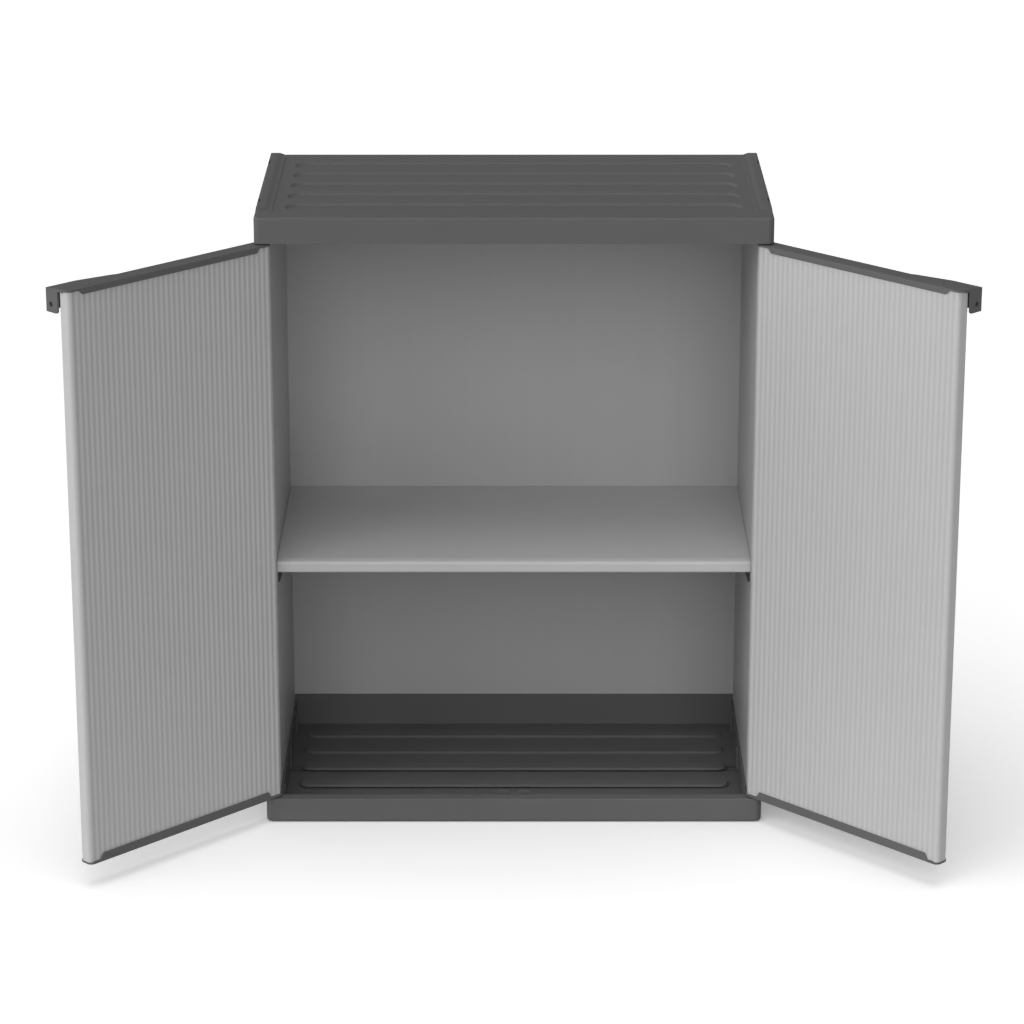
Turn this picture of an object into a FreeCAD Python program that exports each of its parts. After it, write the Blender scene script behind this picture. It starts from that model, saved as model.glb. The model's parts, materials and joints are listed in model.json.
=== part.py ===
import FreeCAD, Part
import math
import os
import Sketcher

# Low two-door storage cabinet in moulded resin, millimetres.
# X runs to the right, Y to the back and Z up. The origin is on the floor,
# under the middle of the carcass. The doors stand open, as they are at rest.

SIZES = [
    # Whole cabinet
    ("cabinet_width", 680.0, "across base and roof"),
    ("cabinet_depth", 370.0, "front of base to back of base"),
    ("cabinet_height", 856.1, "floor to top of the roof rails"),
    ("fit_gap", 0.3, "play between pieces that slip together"),
    ("contact_gap", 0.3, "play between pieces that move past each other"),
    # Side and back panels
    ("side_thickness", 15.5, "hollow side panel"),
    ("side_inset", 4.0, "side panel behind the edge of base and roof"),
    ("side_setback", 26.0, "front of side panel behind the front plane"),
    ("side_back_gap", 4.0, "back of side panel in front of the back plane"),
    ("side_edge", 3.0, "rounding of the side panel's front edges"),
    ("side_cells", 15, "hollow cells in a side panel"),
    ("panel_skin", 1.5, "outer skin of a side panel"),
    ("panel_web", 1.6, "web between two cells"),
    ("panel_seat", 8.0, "height where the panels stand in the base"),
    ("roof_grip", 24.0, "how far the panels reach into the roof"),
    ("back_thickness", 4.0, "back panel"),
    ("back_inset", 9.0, "back panel in front of the back plane"),
    ("back_groove", 4.0, "groove in the side panels for the back panel"),
    # Base tray
    ("base_height", 34.5, "front sill"),
    ("base_corner", 9.0, "rounding of the upright corners"),
    ("foot_radius", 5.0, "rounding of the lower edge"),
    ("sill_edge", 1.5, "rounding of the front sill's upper edge"),
    ("sill_depth", 17.0, "front sill"),
    ("floor_top", 5.0, "upper face of the tray floor"),
    ("floor_thickness", 2.5, "tray floor"),
    ("rim_width", 14.0, "standing rim and middle foot under the tray"),
    ("beam_wall", 3.0, "walls of the hollow front beams"),
    ("pin_block", 30.0, "solid end of a front beam that holds a pin"),
    ("kerb_wall", 2.4, "kerb inside the panels"),
    ("kerb_height", 42.0, "side kerb above the floor of the room"),
    ("back_kerb_height", 51.0, "back kerb above the floor of the room"),
    ("clip_reach", 2.4, "clip post on the side kerb, inwards"),
    ("clip_width", 9.0, "clip post, front to back"),
    ("clip_height", 38.0, "top of a clip post"),
    ("clip_spacing", 140.0, "from one clip post to the next"),
    ("clip_back", 26.0, "last clip post in front of the back kerb"),
    ("clip_count", 3, "clip posts on each side"),
    # Ribs of the tray and grooves of the roof
    ("rib_length", 604.0, "rib or groove, end to end"),
    ("rib_width", 38.0, "rib or groove, front to back"),
    ("rib_height", 3.0, "rib above the tray floor"),
    ("rib_slope", 40.0, "lean of the flanks in degrees"),
    ("rib_spacing", 60.3, "from one rib to the next"),
    ("rib_count", 5, "ribs in the tray, and grooves in the roof"),
    # Roof cover
    ("roof_skirt", 35.4, "front and side skirt"),
    ("roof_corner", 8.0, "rounding of the upright corners"),
    ("roof_edge", 3.5, "rounding of the upper edge"),
    ("roof_wall", 2.5, "roof panel under its grooves"),
    ("rail_rise", 2.5, "side rail above the borders"),
    ("rail_width", 19.0, "side rail"),
    ("rail_edge", 0.6, "outer side of the rail in from the roof's side"),
    ("rail_round", 2.2, "rounding of the rail's edges"),
    ("border_front", 36.0, "front border of the roof panel"),
    ("border_back", 22.0, "back border of the roof panel"),
    ("border_side", 22.4, "side border of the roof panel"),
    ("panel_recess", 1.0, "roof panel below its borders"),
    ("groove_depth", 3.0, "groove below the roof panel"),
    ("lintel_depth", 25.0, "closed front beam of the roof"),
    ("slot_length", 20.0, "clip window in the rail, front to back"),
    ("slot_width", 2.2, "clip window, across"),
    ("slot_depth", 6.0, "clip window"),
    ("slot_inset", 1.4, "clip window in from the roof's side"),
    ("slot_front", 91.0, "front clip window behind the front plane"),
    ("slot_back", 312.0, "back clip window behind the front plane"),
    # Door stops and catches
    ("stop_inner", 6.4, "inner end of a door stop from the middle"),
    ("stop_width", 16.4, "door stop"),
    ("stop_thickness", 2.5, "door stop"),
    ("stop_top", 37.5, "top of the lower door stops"),
    ("stop_drop", 3.0, "upper door stops below the roof"),
    ("catch_place", 41.0, "catch bump from the middle of the cabinet"),
    ("bump_radius", 3.5, "catch bump on a door cap"),
    ("bump_height", 0.9, "catch bump"),
    ("bump_round", 0.81, "rounding of a catch bump's rim"),
    ("dimple_radius", 4.6, "hollow for a catch bump"),
    ("dimple_depth", 0.8, "hollow for a catch bump"),
    ("centre_rib_width", 6.0, "rib on the sill between the doors"),
    ("centre_rib_height", 0.8, "rib on the sill between the doors"),
    # Hinge pins
    ("pin_inset", 8.5, "pin axis in from the cabinet's side"),
    ("pin_radius", 3.0, "steel hinge pin"),
    ("pin_play", 0.05, "pin in its bore, on the radius"),
    ("pin_depth", 18.0, "pin in base, roof and cap"),
    ("pin_relief", 1.0, "bore in the cap beyond the pin's end"),
    ("pin_chamfer", 0.6, "ends of the pin"),
    ("collar_radius", 5.2, "collar that carries the door"),
    # Doors
    ("open_angle", 135.0, "doors from closed, as they stand at rest"),
    ("door_thickness", 20.0, "door panel"),
    ("door_gap_low", 1.5, "under the door"),
    ("door_gap_high", 2.2, "over the door"),
    ("centre_gap", 0.5, "closed door from the middle of the cabinet"),
    ("nose_radius", 6.0, "rounding of the door panel's edges"),
    ("door_cells", 13, "hollow cells in a door panel"),
    ("door_skin", 2.2, "outer skin of a door panel"),
    ("nose_skin", 2.5, "end wall of a door panel"),
    ("flute_count", 38, "flutes on each face"),
    ("flute_margin", 1.43, "plain strip beside the outermost crests"),
    ("flute_width", 4.6, "one flute"),
    ("flute_depth", 0.5, "one flute"),
    # Door caps
    ("cap_plate", 2.5, "plate over the end of the door panel"),
    ("skirt_wall", 2.0, "skirt of a cap"),
    ("cap_rim", 3.5, "height of the rim that runs round a cap"),
    ("cap_corner", 8.0, "upright corners of a cap"),
    ("skirt_start", 12.4, "skirt's hinge end from the pin"),
    ("skirt_tip_gap", 19.5, "skirt's free end from the door's tip"),
    ("skirt_slope_pin", 4.5, "run of the slope at the hinge end"),
    ("skirt_slope_tip", 5.0, "run of the slope at the free end"),
    ("skirt_low", 11.5, "height of the lower cap's skirt"),
    ("skirt_high", 8.5, "height of the upper cap's skirt"),
    ("boss_radius", 5.5, "pin boss inside the door panel"),
    ("cap_edge", 0.7, "rounding of a cap's outer edge"),
    # Finger pull and padlock tab
    ("pull_length", 98.0, "finger pull from its root to the door's tip"),
    ("pull_run", 6.0, "short step at the finger pull's root"),
    ("pull_step", 2.5, "how far that step comes out of the cap"),
    ("pull_reach", 19.2, "finger pull in front of the cap, at the tip"),
    ("pull_drop", 33.0, "skirt of the finger pull"),
    ("tab_thickness", 2.5, "padlock tab"),
    ("tab_inner", 8.6, "inner edge of the tab from the door's middle"),
    ("tab_drop", 33.5, "padlock tab"),
    ("tab_corner", 4.0, "rounding of the tab's lower inner corner"),
    ("lock_radius", 3.5, "hole for a padlock"),
    ("lock_inset", 9.2, "padlock hole from the tab's front edge"),
    ("lock_drop", 23.0, "padlock hole below the top of the cap"),
    # Shelf
    ("shelf_top", 370.5, "upper face above the floor of the room"),
    ("shelf_thickness", 17.6, "shelf"),
    ("shelf_setback", 30.0, "front of the shelf behind the front plane"),
    ("shelf_slope_run", 9.0, "sloped band along the front edge"),
    ("shelf_slope_fall", 2.6, "sloped band along the front edge"),
    ("shelf_edge", 3.0, "rounding of the front edge"),
    ("shelf_skin", 3.0, "upper face of the shelf"),
    ("shelf_wall", 3.0, "rim of the shelf"),
    ("shelf_rib", 2.4, "ribs under the shelf"),
    ("shelf_bays", 10, "hollows under the shelf, side to side"),
    ("shelf_rows", 4, "hollows under the shelf, front to back"),
    # Shelf supports
    ("peg_radius", 2.4, "peg of a shelf support"),
    ("peg_length", 5.0, "peg of a shelf support"),
    ("peg_play", 0.1, "peg in its hole, on the radius"),
    ("peg_columns", 3, "peg holes in a row"),
    ("peg_front", 57.0, "front column of holes behind the front plane"),
    ("peg_back", 62.0, "back column of holes in front of the back plane"),
    ("peg_below_shelf", 5.0, "peg hole under the shelf's lower face"),
    ("row_spacing", 153.0, "from one row of holes to the next"),
    ("support_reach", 8.0, "support under the shelf, inwards"),
    ("support_foot", 2.3, "support at its lower end, inwards"),
    ("support_height", 20.0, "support"),
    ("support_width", 14.0, "support, front to back"),
    ("support_lip", 3.0, "square lip at the top of a support"),
]

doc = FreeCAD.newDocument("storage_cabinet")
sheet = doc.addObject("Spreadsheet::Sheet", "Sizes")
for row, (alias, number, note) in enumerate(SIZES, start=1):
    sheet.set("A%d" % row, str(number))
    sheet.setAlias("A%d" % row, alias)
    sheet.set("B%d" % row, note)
doc.recompute()

# Places that several pieces share, as expressions on the sheet
HALF = "(Sizes.cabinet_width / 2)"
FRONT = "(-Sizes.cabinet_depth / 2)"
BACK = "(Sizes.cabinet_depth / 2)"
SIDE_OUT = f"({HALF} - Sizes.side_inset)"
SIDE_IN = f"({SIDE_OUT} - Sizes.side_thickness)"
SIDE_FRONT = f"({FRONT} + Sizes.side_setback)"
SIDE_BACK = f"({BACK} - Sizes.side_back_gap)"
BACK_OUT = f"({BACK} - Sizes.back_inset)"
BACK_IN = f"({BACK_OUT} - Sizes.back_thickness)"
SILL_BACK = f"({FRONT} + Sizes.sill_depth)"
KERB_OUT = f"({SIDE_IN} - Sizes.fit_gap)"
KERB_IN = f"({KERB_OUT} - Sizes.kerb_wall)"
KERB_BACK = f"({BACK_IN} - Sizes.fit_gap)"
WELL_BACK = f"({KERB_BACK} - Sizes.kerb_wall)"
BORDER_TOP = "(Sizes.cabinet_height - Sizes.rail_rise)"
ROOF_LOW = f"({BORDER_TOP} - Sizes.roof_skirt)"
ROOF_PANEL = f"({BORDER_TOP} - Sizes.panel_recess)"
CEILING = f"({ROOF_PANEL} - Sizes.groove_depth - Sizes.roof_wall)"
PANEL_TOP = f"({ROOF_LOW} + Sizes.roof_grip)"
DOOR_LOW = "(Sizes.base_height + Sizes.door_gap_low)"
DOOR_HIGH = f"({ROOF_LOW} - Sizes.door_gap_high)"
DOOR_PANEL_LOW = f"({DOOR_LOW} + Sizes.cap_plate)"
DOOR_PANEL_HIGH = f"({DOOR_HIGH} - Sizes.cap_plate)"
DOOR_HALF = "(Sizes.door_thickness / 2)"
CAP_HALF = f"({DOOR_HALF} + Sizes.skirt_wall)"
PIN_X = f"({HALF} - Sizes.pin_inset)"
PIN_Y = f"({FRONT} + {CAP_HALF})"
TIP = f"({PIN_X} - Sizes.centre_gap)"
DOOR_END = f"({TIP} - Sizes.tab_thickness - Sizes.fit_gap)"
STOP_FRONT = f"({FRONT} + 2 * {CAP_HALF} + Sizes.contact_gap)"
SHELF_LOW = "(Sizes.shelf_top - Sizes.shelf_thickness)"
SHELF_FRONT = f"({FRONT} + Sizes.shelf_setback)"
SHELF_BACK = f"({BACK_IN} - Sizes.contact_gap)"
SHELF_HALF = f"({SIDE_IN} - Sizes.contact_gap)"
PEG_HEIGHT = f"({SHELF_LOW} - Sizes.peg_below_shelf)"

# Places on a sketch's line or arc, as the sketcher counts them
_, START, END, CENTRE = range(4)
ORIGIN_POINT = (-1, START)
TOUCH = 0.01


def value(expression):
    """Give the number that an expression on the sheet has now."""
    result = sheet.evalExpression(str(expression))
    return float(getattr(result, "Value", result))


def point(x, y):
    """Give a sketch point from two expressions."""
    return FreeCAD.Vector(value(x), value(y), 0)


# Sketches

def origin_feature(body, role):
    """Find one of the body's own origin planes or axes."""
    return next(f for f in body.Origin.OriginFeatures if f.Role == role)


def new_body(label):
    """Start a sub-part under its own name."""
    body = doc.addObject("PartDesign::Body", label)
    body.Label = label
    return body


def new_sketch(body, name, plane="XY_Plane", lift="0"):
    """Start a sketch on an origin plane, lifted along the plane's normal."""
    sketch = body.newObject("Sketcher::SketchObject", name)
    sketch.AttachmentSupport = [(origin_feature(body, plane), "")]
    sketch.MapMode = "FlatFace"
    sketch.setExpression(".AttachmentOffset.Base.z", lift)
    sketch.Visibility = False
    return sketch


def bind(sketch, kind, *references, to):
    """Add a dimension to a sketch and tie it to an expression."""
    constraint = Sketcher.Constraint(kind, *references, value(to))
    number = sketch.addConstraint(constraint)
    sketch.setExpression("Constraints[%d]" % number, to)


def fix_point(sketch, geometry, place, x, y):
    """Tie one point of a sketch to two expressions."""
    bind(sketch, "DistanceX", *ORIGIN_POINT, geometry, place, to=x)
    bind(sketch, "DistanceY", *ORIGIN_POINT, geometry, place, to=y)


def polygon(sketch, points):
    """Draw a closed outline of straight lines."""
    corners = [point(x, y) for x, y in points]
    count = len(corners)
    first = sketch.GeometryCount
    for index, corner in enumerate(corners):
        following = corners[(index + 1) % count]
        sketch.addGeometry(Part.LineSegment(corner, following))
    for index, (x, y) in enumerate(points):
        line = first + index
        following = first + (index + 1) % count
        meeting = Sketcher.Constraint("Coincident", line, END, following, START)
        sketch.addConstraint(meeting)
        fix_point(sketch, line, START, x, y)
    return sketch


def rectangle(sketch, left, front, right, back):
    """Draw a rectangle between four sides."""
    return polygon(sketch, [(left, front), (right, front), (right, back), (left, back)])


def circle(sketch, x, y, radius):
    """Draw a circle."""
    normal = FreeCAD.Vector(0, 0, 1)
    number = sketch.addGeometry(Part.Circle(point(x, y), normal, value(radius)))
    fix_point(sketch, number, CENTRE, x, y)
    bind(sketch, "Radius", number, to=radius)
    return sketch


def stadium(sketch, length, y, width):
    """Draw a long shape with round ends, centred on the sketch's Y axis."""
    radius = f"({width}) / 2"
    reach = f"(({length}) - ({width})) / 2"
    right_centre = point(reach, y)
    left_centre = point(f"-{reach}", y)
    arm = FreeCAD.Vector(0, value(radius), 0)
    normal = FreeCAD.Vector(0, 0, 1)
    low = sketch.addGeometry(Part.LineSegment(left_centre - arm, right_centre - arm))
    right_circle = Part.Circle(right_centre, normal, value(radius))
    right = sketch.addGeometry(Part.ArcOfCircle(right_circle, -math.pi / 2, math.pi / 2))
    high = sketch.addGeometry(Part.LineSegment(right_centre + arm, left_centre + arm))
    left_circle = Part.Circle(left_centre, normal, value(radius))
    left = sketch.addGeometry(Part.ArcOfCircle(left_circle, math.pi / 2, 3 * math.pi / 2))
    for one, other in ((low, right), (right, high), (high, left), (left, low)):
        sketch.addConstraint(Sketcher.Constraint("Tangent", one, END, other, START))
    fix_point(sketch, right, CENTRE, reach, y)
    fix_point(sketch, left, CENTRE, f"-{reach}", y)
    bind(sketch, "Radius", right, to=radius)
    sketch.addConstraint(Sketcher.Constraint("Equal", right, left))
    return sketch


# Features

def pad(body, sketch, length, reverse=False, lean=None, middle=False):
    """Raise a sketch to a solid."""
    feature = body.newObject("PartDesign::Pad", sketch.Name + "_pad")
    feature.Profile = sketch
    feature.setExpression("Length", length)
    feature.Reversed = reverse
    feature.Midplane = middle
    if lean is not None:
        feature.setExpression("TaperAngle", lean)
    doc.recompute()
    return feature


def pocket(body, sketch, depth=None, reverse=False, lean=None):
    """Cut a sketch out of the solid, by a depth or right through."""
    before = body.Shape.Volume
    feature = body.newObject("PartDesign::Pocket", sketch.Name + "_cut")
    feature.Profile = sketch
    feature.Reversed = reverse
    if depth is None:
        feature.Type = "ThroughAll"
        feature.Midplane = True
    else:
        feature.setExpression("Length", depth)
    if lean is not None:
        feature.setExpression("TaperAngle", lean)
    doc.recompute()
    if body.Shape.Volume > before - TOUCH:
        raise RuntimeError(sketch.Name + " cuts nothing")
    return feature


def mirror(body, features, plane="YZ_Plane"):
    """Repeat features on the other side of an origin plane."""
    feature = body.newObject("PartDesign::Mirrored", features[0].Name + "_mirror")
    feature.Originals = features
    feature.MirrorPlane = (origin_feature(body, plane), [""])
    body.Tip = feature
    doc.recompute()
    return feature


def repeat(body, features, axis, spacing, count):
    """Repeat features in a row along an origin axis."""
    feature = body.newObject("PartDesign::LinearPattern", features[0].Name + "_row")
    feature.Originals = features
    feature.Direction = (origin_feature(body, axis), [""])
    feature.setExpression("Length", f"({spacing}) * (({count}) - 1)")
    feature.setExpression("Occurrences", count)
    feature.Refine = False
    body.Tip = feature
    doc.recompute()
    return feature


def edge_names(shape, wanted):
    """Name the edges that a test picks."""
    return ["Edge%d" % (i + 1) for i, edge in enumerate(shape.Edges) if wanted(edge)]


def round_edges(body, name, radius, wanted):
    """Round the edges that a test picks."""
    base = body.Tip
    feature = body.newObject("PartDesign::Fillet", name)
    feature.Base = (base, edge_names(base.Shape, wanted))
    feature.setExpression("Radius", radius)
    doc.recompute()
    return feature


def bevel_edges(body, name, size, wanted):
    """Bevel the edges that a test picks."""
    base = body.Tip
    feature = body.newObject("PartDesign::Chamfer", name)
    feature.Base = (base, edge_names(base.Shape, wanted))
    feature.setExpression("Size", size)
    doc.recompute()
    return feature


def upright(edge):
    """Tell whether an edge runs straight up."""
    box = edge.BoundBox
    return box.XLength < TOUCH and box.YLength < TOUCH and box.ZLength > TOUCH


def upright_at(half):
    """Make a test for upright edges at a distance from the door's middle."""
    place = value(half)

    def wanted(edge):
        return upright(edge) and abs(abs(edge.BoundBox.YMin) - place) < TOUCH

    return wanted


def level_at(height):
    """Make a test for edges that lie level at a height."""
    level = value(height)

    def wanted(edge):
        box = edge.BoundBox
        return abs(box.ZMin - level) < TOUCH and abs(box.ZMax - level) < TOUCH

    return wanted


def mirrored_part(source, label):
    """Make the right-hand piece from the left-hand one."""
    copy = doc.addObject("Part::Mirroring", label)
    copy.Label = label
    copy.Source = source
    copy.Normal = FreeCAD.Vector(1, 0, 0)
    copy.Base = FreeCAD.Vector(0, 0, 0)
    return copy


# Base tray

def base_tray():
    """Moulded tray with a ribbed floor, a front sill and seats for the panels."""
    body = new_body("base_tray")
    outline = rectangle(new_sketch(body, "base_outline"), f"-{HALF}", FRONT, HALF, BACK)
    pad(body, outline, "Sizes.base_height")
    round_edges(body, "base_corners", "Sizes.base_corner", upright)
    round_edges(body, "base_foot", "Sizes.foot_radius", level_at("0"))
    top = level_at("Sizes.base_height")
    round_edges(body, "base_sill_edge", "Sizes.sill_edge", top)

    well = new_sketch(body, "base_well", lift="Sizes.base_height")
    rectangle(well, f"-{KERB_IN}", SILL_BACK, KERB_IN, WELL_BACK)
    pocket(body, well, "Sizes.base_height - Sizes.floor_top")
    base_panel_seats(body)
    base_kerbs(body)
    base_ribs(body)
    base_underside(body)
    base_door_stops(body)
    base_hinge_bores(body)
    return body


def base_panel_seats(body):
    """Channels in which the side panels and the back panel stand."""
    seat_depth = "Sizes.base_height - Sizes.panel_seat"
    side = new_sketch(body, "base_side_channel", lift="Sizes.base_height")
    left = f"-{SIDE_OUT} - Sizes.fit_gap"
    front = f"{SIDE_FRONT} - Sizes.fit_gap"
    back = f"{SIDE_BACK} + Sizes.fit_gap"
    rectangle(side, left, front, f"-{KERB_OUT}", back)
    cut = pocket(body, side, seat_depth)
    mirror(body, [cut])
    rear = new_sketch(body, "base_back_channel", lift="Sizes.base_height")
    reach = f"{SIDE_IN} + Sizes.back_groove"
    rectangle(rear, f"-({reach})", KERB_BACK, reach, f"{BACK_OUT} + Sizes.fit_gap")
    pocket(body, rear, seat_depth)


def base_kerbs(body):
    """Kerbs that stand up inside the panels, with clip posts on the sides."""
    side = new_sketch(body, "base_side_kerb", lift="Sizes.floor_top")
    rectangle(side, f"-{KERB_OUT}", SIDE_FRONT, f"-{KERB_IN}", KERB_BACK)
    side_kerb = pad(body, side, "Sizes.kerb_height - Sizes.floor_top")
    mirror(body, [side_kerb])
    rear = new_sketch(body, "base_back_kerb", lift="Sizes.floor_top")
    rectangle(rear, f"-{KERB_OUT}", WELL_BACK, KERB_OUT, KERB_BACK)
    pad(body, rear, "Sizes.back_kerb_height - Sizes.floor_top")
    first_back = f"({WELL_BACK} - Sizes.clip_back - (Sizes.clip_count - 1) * Sizes.clip_spacing)"
    first_front = f"{first_back} - Sizes.clip_width"
    post_in = f"({KERB_IN} - Sizes.clip_reach)"
    for side, left, right in (("left", f"-{KERB_IN}", f"-{post_in}"), ("right", post_in, KERB_IN)):
        clip = new_sketch(body, "base_clip_" + side, lift="Sizes.floor_top")
        rectangle(clip, left, first_front, right, first_back)
        post = pad(body, clip, "Sizes.clip_height - Sizes.floor_top")
        repeat(body, [post], "Y_Axis", "Sizes.clip_spacing", "Sizes.clip_count")


def first_rib():
    """Place of the row's first rib, so that the row is centred on the depth."""
    return "(-Sizes.rib_spacing * (Sizes.rib_count - 1) / 2)"


def base_ribs(body):
    """Long ribs with round ends on the tray floor."""
    rib = new_sketch(body, "base_rib", lift="Sizes.floor_top")
    stadium(rib, "Sizes.rib_length", first_rib(), "Sizes.rib_width")
    raised = pad(body, rib, "Sizes.rib_height", lean="-Sizes.rib_slope")
    repeat(body, [raised], "Y_Axis", "Sizes.rib_spacing", "Sizes.rib_count")


def base_underside(body):
    """Hollows under the floor and the front beam, between a rim and a middle foot."""
    under = new_sketch(body, "base_under_floor")
    side = f"({HALF} - Sizes.rim_width)"
    foot = "Sizes.rim_width / 2"
    rectangle(under, f"-{side}", f"{SILL_BACK} + Sizes.beam_wall", side, f"-{foot}")
    rectangle(under, f"-{side}", foot, side, f"{BACK} - Sizes.rim_width")
    pocket(body, under, "Sizes.floor_top - Sizes.floor_thickness", reverse=True)
    beam = new_sketch(body, "base_beam_hollow")
    reach = f"({HALF} - Sizes.pin_block)"
    front = f"{FRONT} + Sizes.beam_wall"
    rectangle(beam, f"-{reach}", front, reach, f"{SILL_BACK} - Sizes.beam_wall")
    pocket(body, beam, "Sizes.base_height - Sizes.beam_wall", reverse=True)


def base_door_stops(body):
    """Two tongues behind the sill that stop the doors, a rib and two hollows."""
    stop = new_sketch(body, "base_stop", lift="Sizes.floor_top")
    outer = "-Sizes.stop_inner - Sizes.stop_width"
    rectangle(stop, outer, STOP_FRONT, "-Sizes.stop_inner", f"{STOP_FRONT} + Sizes.stop_thickness")
    tongue = pad(body, stop, "Sizes.stop_top - Sizes.floor_top")
    mirror(body, [tongue])
    rib = new_sketch(body, "base_centre_rib", lift="Sizes.base_height")
    half = "Sizes.centre_rib_width / 2"
    rib_back = f"{SILL_BACK} - Sizes.sill_edge"
    rectangle(rib, f"-{half}", f"{FRONT} + Sizes.beam_wall", half, rib_back)
    pad(body, rib, "Sizes.centre_rib_height")
    hollow = new_sketch(body, "base_dimple", lift="Sizes.base_height")
    circle(hollow, "-Sizes.catch_place", PIN_Y, "Sizes.dimple_radius")
    dimple = pocket(body, hollow, "Sizes.dimple_depth")
    mirror(body, [dimple])


def base_hinge_bores(body):
    """Blind bores for the lower hinge pins."""
    bore = new_sketch(body, "base_pin_bore", lift="Sizes.base_height")
    circle(bore, f"-{PIN_X}", PIN_Y, "Sizes.pin_radius + Sizes.pin_play")
    cut = pocket(body, bore, "Sizes.pin_depth")
    mirror(body, [cut])


# Roof cover

def roof_cover():
    """Moulded cap with grooves, side rails, a closed lintel and panel seats."""
    body = new_body("roof_cover")
    outline = new_sketch(body, "roof_outline", lift=ROOF_LOW)
    rectangle(outline, f"-{HALF}", FRONT, HALF, BACK)
    pad(body, outline, "Sizes.roof_skirt")
    round_edges(body, "roof_corners", "Sizes.roof_corner", upright)
    round_edges(body, "roof_top_edge", "Sizes.roof_edge", level_at(BORDER_TOP))
    roof_rails(body)
    roof_panel(body)
    roof_hollows(body)
    roof_door_stops(body)
    roof_clip_windows(body)
    return body


def roof_rails(body):
    """Raised rails along both sides."""
    rail = new_sketch(body, "roof_rail", lift=f"{BORDER_TOP} - Sizes.roof_edge")
    outer = f"-{HALF} + Sizes.rail_edge"
    front = f"{FRONT} + Sizes.border_front"
    inner = f"{outer} + Sizes.rail_width"
    rectangle(rail, outer, front, inner, f"{BACK} - Sizes.rail_edge")
    raised = pad(body, rail, "Sizes.rail_rise + Sizes.roof_edge")
    mirror(body, [raised])
    round_edges(body, "roof_rail_edges", "Sizes.rail_round", level_at("Sizes.cabinet_height"))


def roof_panel(body):
    """Roof panel a step below its borders, with long grooves."""
    recess = new_sketch(body, "roof_recess", lift=BORDER_TOP)
    side = f"({HALF} - Sizes.border_side)"
    front = f"{FRONT} + Sizes.border_front"
    rectangle(recess, f"-{side}", front, side, f"{BACK} - Sizes.border_back")
    pocket(body, recess, "Sizes.panel_recess")
    groove = new_sketch(body, "roof_groove", lift=ROOF_PANEL)
    stadium(groove, "Sizes.rib_length", first_rib(), "Sizes.rib_width")
    cut = pocket(body, groove, "Sizes.groove_depth", lean="-Sizes.rib_slope")
    repeat(body, [cut], "Y_Axis", "Sizes.rib_spacing", "Sizes.rib_count")


def roof_hollows(body):
    """Space under the roof, panel seats and the hollow of the lintel."""
    space = new_sketch(body, "roof_space", lift=ROOF_LOW)
    lintel_back = f"({FRONT} + Sizes.lintel_depth)"
    rectangle(space, f"-{KERB_IN}", lintel_back, KERB_IN, WELL_BACK)
    pocket(body, space, f"{CEILING} - {ROOF_LOW}", reverse=True)
    side = new_sketch(body, "roof_side_channel", lift=ROOF_LOW)
    left = f"-{SIDE_OUT} - Sizes.fit_gap"
    back = f"{SIDE_BACK} + Sizes.fit_gap"
    rectangle(side, left, f"{SIDE_FRONT} - Sizes.fit_gap", f"-{KERB_OUT}", back)
    cut = pocket(body, side, "Sizes.roof_grip", reverse=True)
    mirror(body, [cut])
    rear = new_sketch(body, "roof_back_channel", lift=ROOF_LOW)
    reach = f"{SIDE_IN} + Sizes.back_groove"
    rectangle(rear, f"-({reach})", KERB_BACK, reach, f"{BACK_OUT} + Sizes.fit_gap")
    pocket(body, rear, "Sizes.roof_grip", reverse=True)
    beam_floor = f"({ROOF_LOW} + Sizes.beam_wall)"
    beam = new_sketch(body, "roof_lintel_hollow", lift=beam_floor)
    reach = f"({HALF} - Sizes.pin_block)"
    beam_back = f"{lintel_back} + Sizes.beam_wall"
    rectangle(beam, f"-{reach}", f"{FRONT} + Sizes.beam_wall", reach, beam_back)
    pocket(body, beam, f"{CEILING} - {beam_floor}", reverse=True)


def roof_door_stops(body):
    """Tongues, hollows and hinge bores on the underside of the lintel."""
    stop = new_sketch(body, "roof_stop", lift=f"{ROOF_LOW} - Sizes.stop_drop")
    outer = "-Sizes.stop_inner - Sizes.stop_width"
    rectangle(stop, outer, STOP_FRONT, "-Sizes.stop_inner", f"{STOP_FRONT} + Sizes.stop_thickness")
    tongue = pad(body, stop, "Sizes.stop_drop + Sizes.beam_wall")
    mirror(body, [tongue])
    hollow = new_sketch(body, "roof_dimple", lift=ROOF_LOW)
    circle(hollow, "-Sizes.catch_place", PIN_Y, "Sizes.dimple_radius")
    dimple = pocket(body, hollow, "Sizes.dimple_depth", reverse=True)
    mirror(body, [dimple])
    bore = new_sketch(body, "roof_pin_bore", lift=ROOF_LOW)
    circle(bore, f"-{PIN_X}", PIN_Y, "Sizes.pin_radius + Sizes.pin_play")
    cut = pocket(body, bore, "Sizes.pin_depth", reverse=True)
    mirror(body, [cut])


def roof_clip_windows(body):
    """Narrow windows in the rails, through which the panels' clips show."""
    window = new_sketch(body, "roof_window", lift="Sizes.cabinet_height")
    outer = f"-{HALF} + Sizes.slot_inset"
    inner = f"{outer} + Sizes.slot_width"
    for middle in (f"{FRONT} + Sizes.slot_front", f"{FRONT} + Sizes.slot_back"):
        front = f"{middle} - Sizes.slot_length / 2"
        rectangle(window, outer, front, inner, f"{front} + Sizes.slot_length")
    cut = pocket(body, window, "Sizes.slot_depth")
    mirror(body, [cut])


# Side panels and back panel

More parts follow.
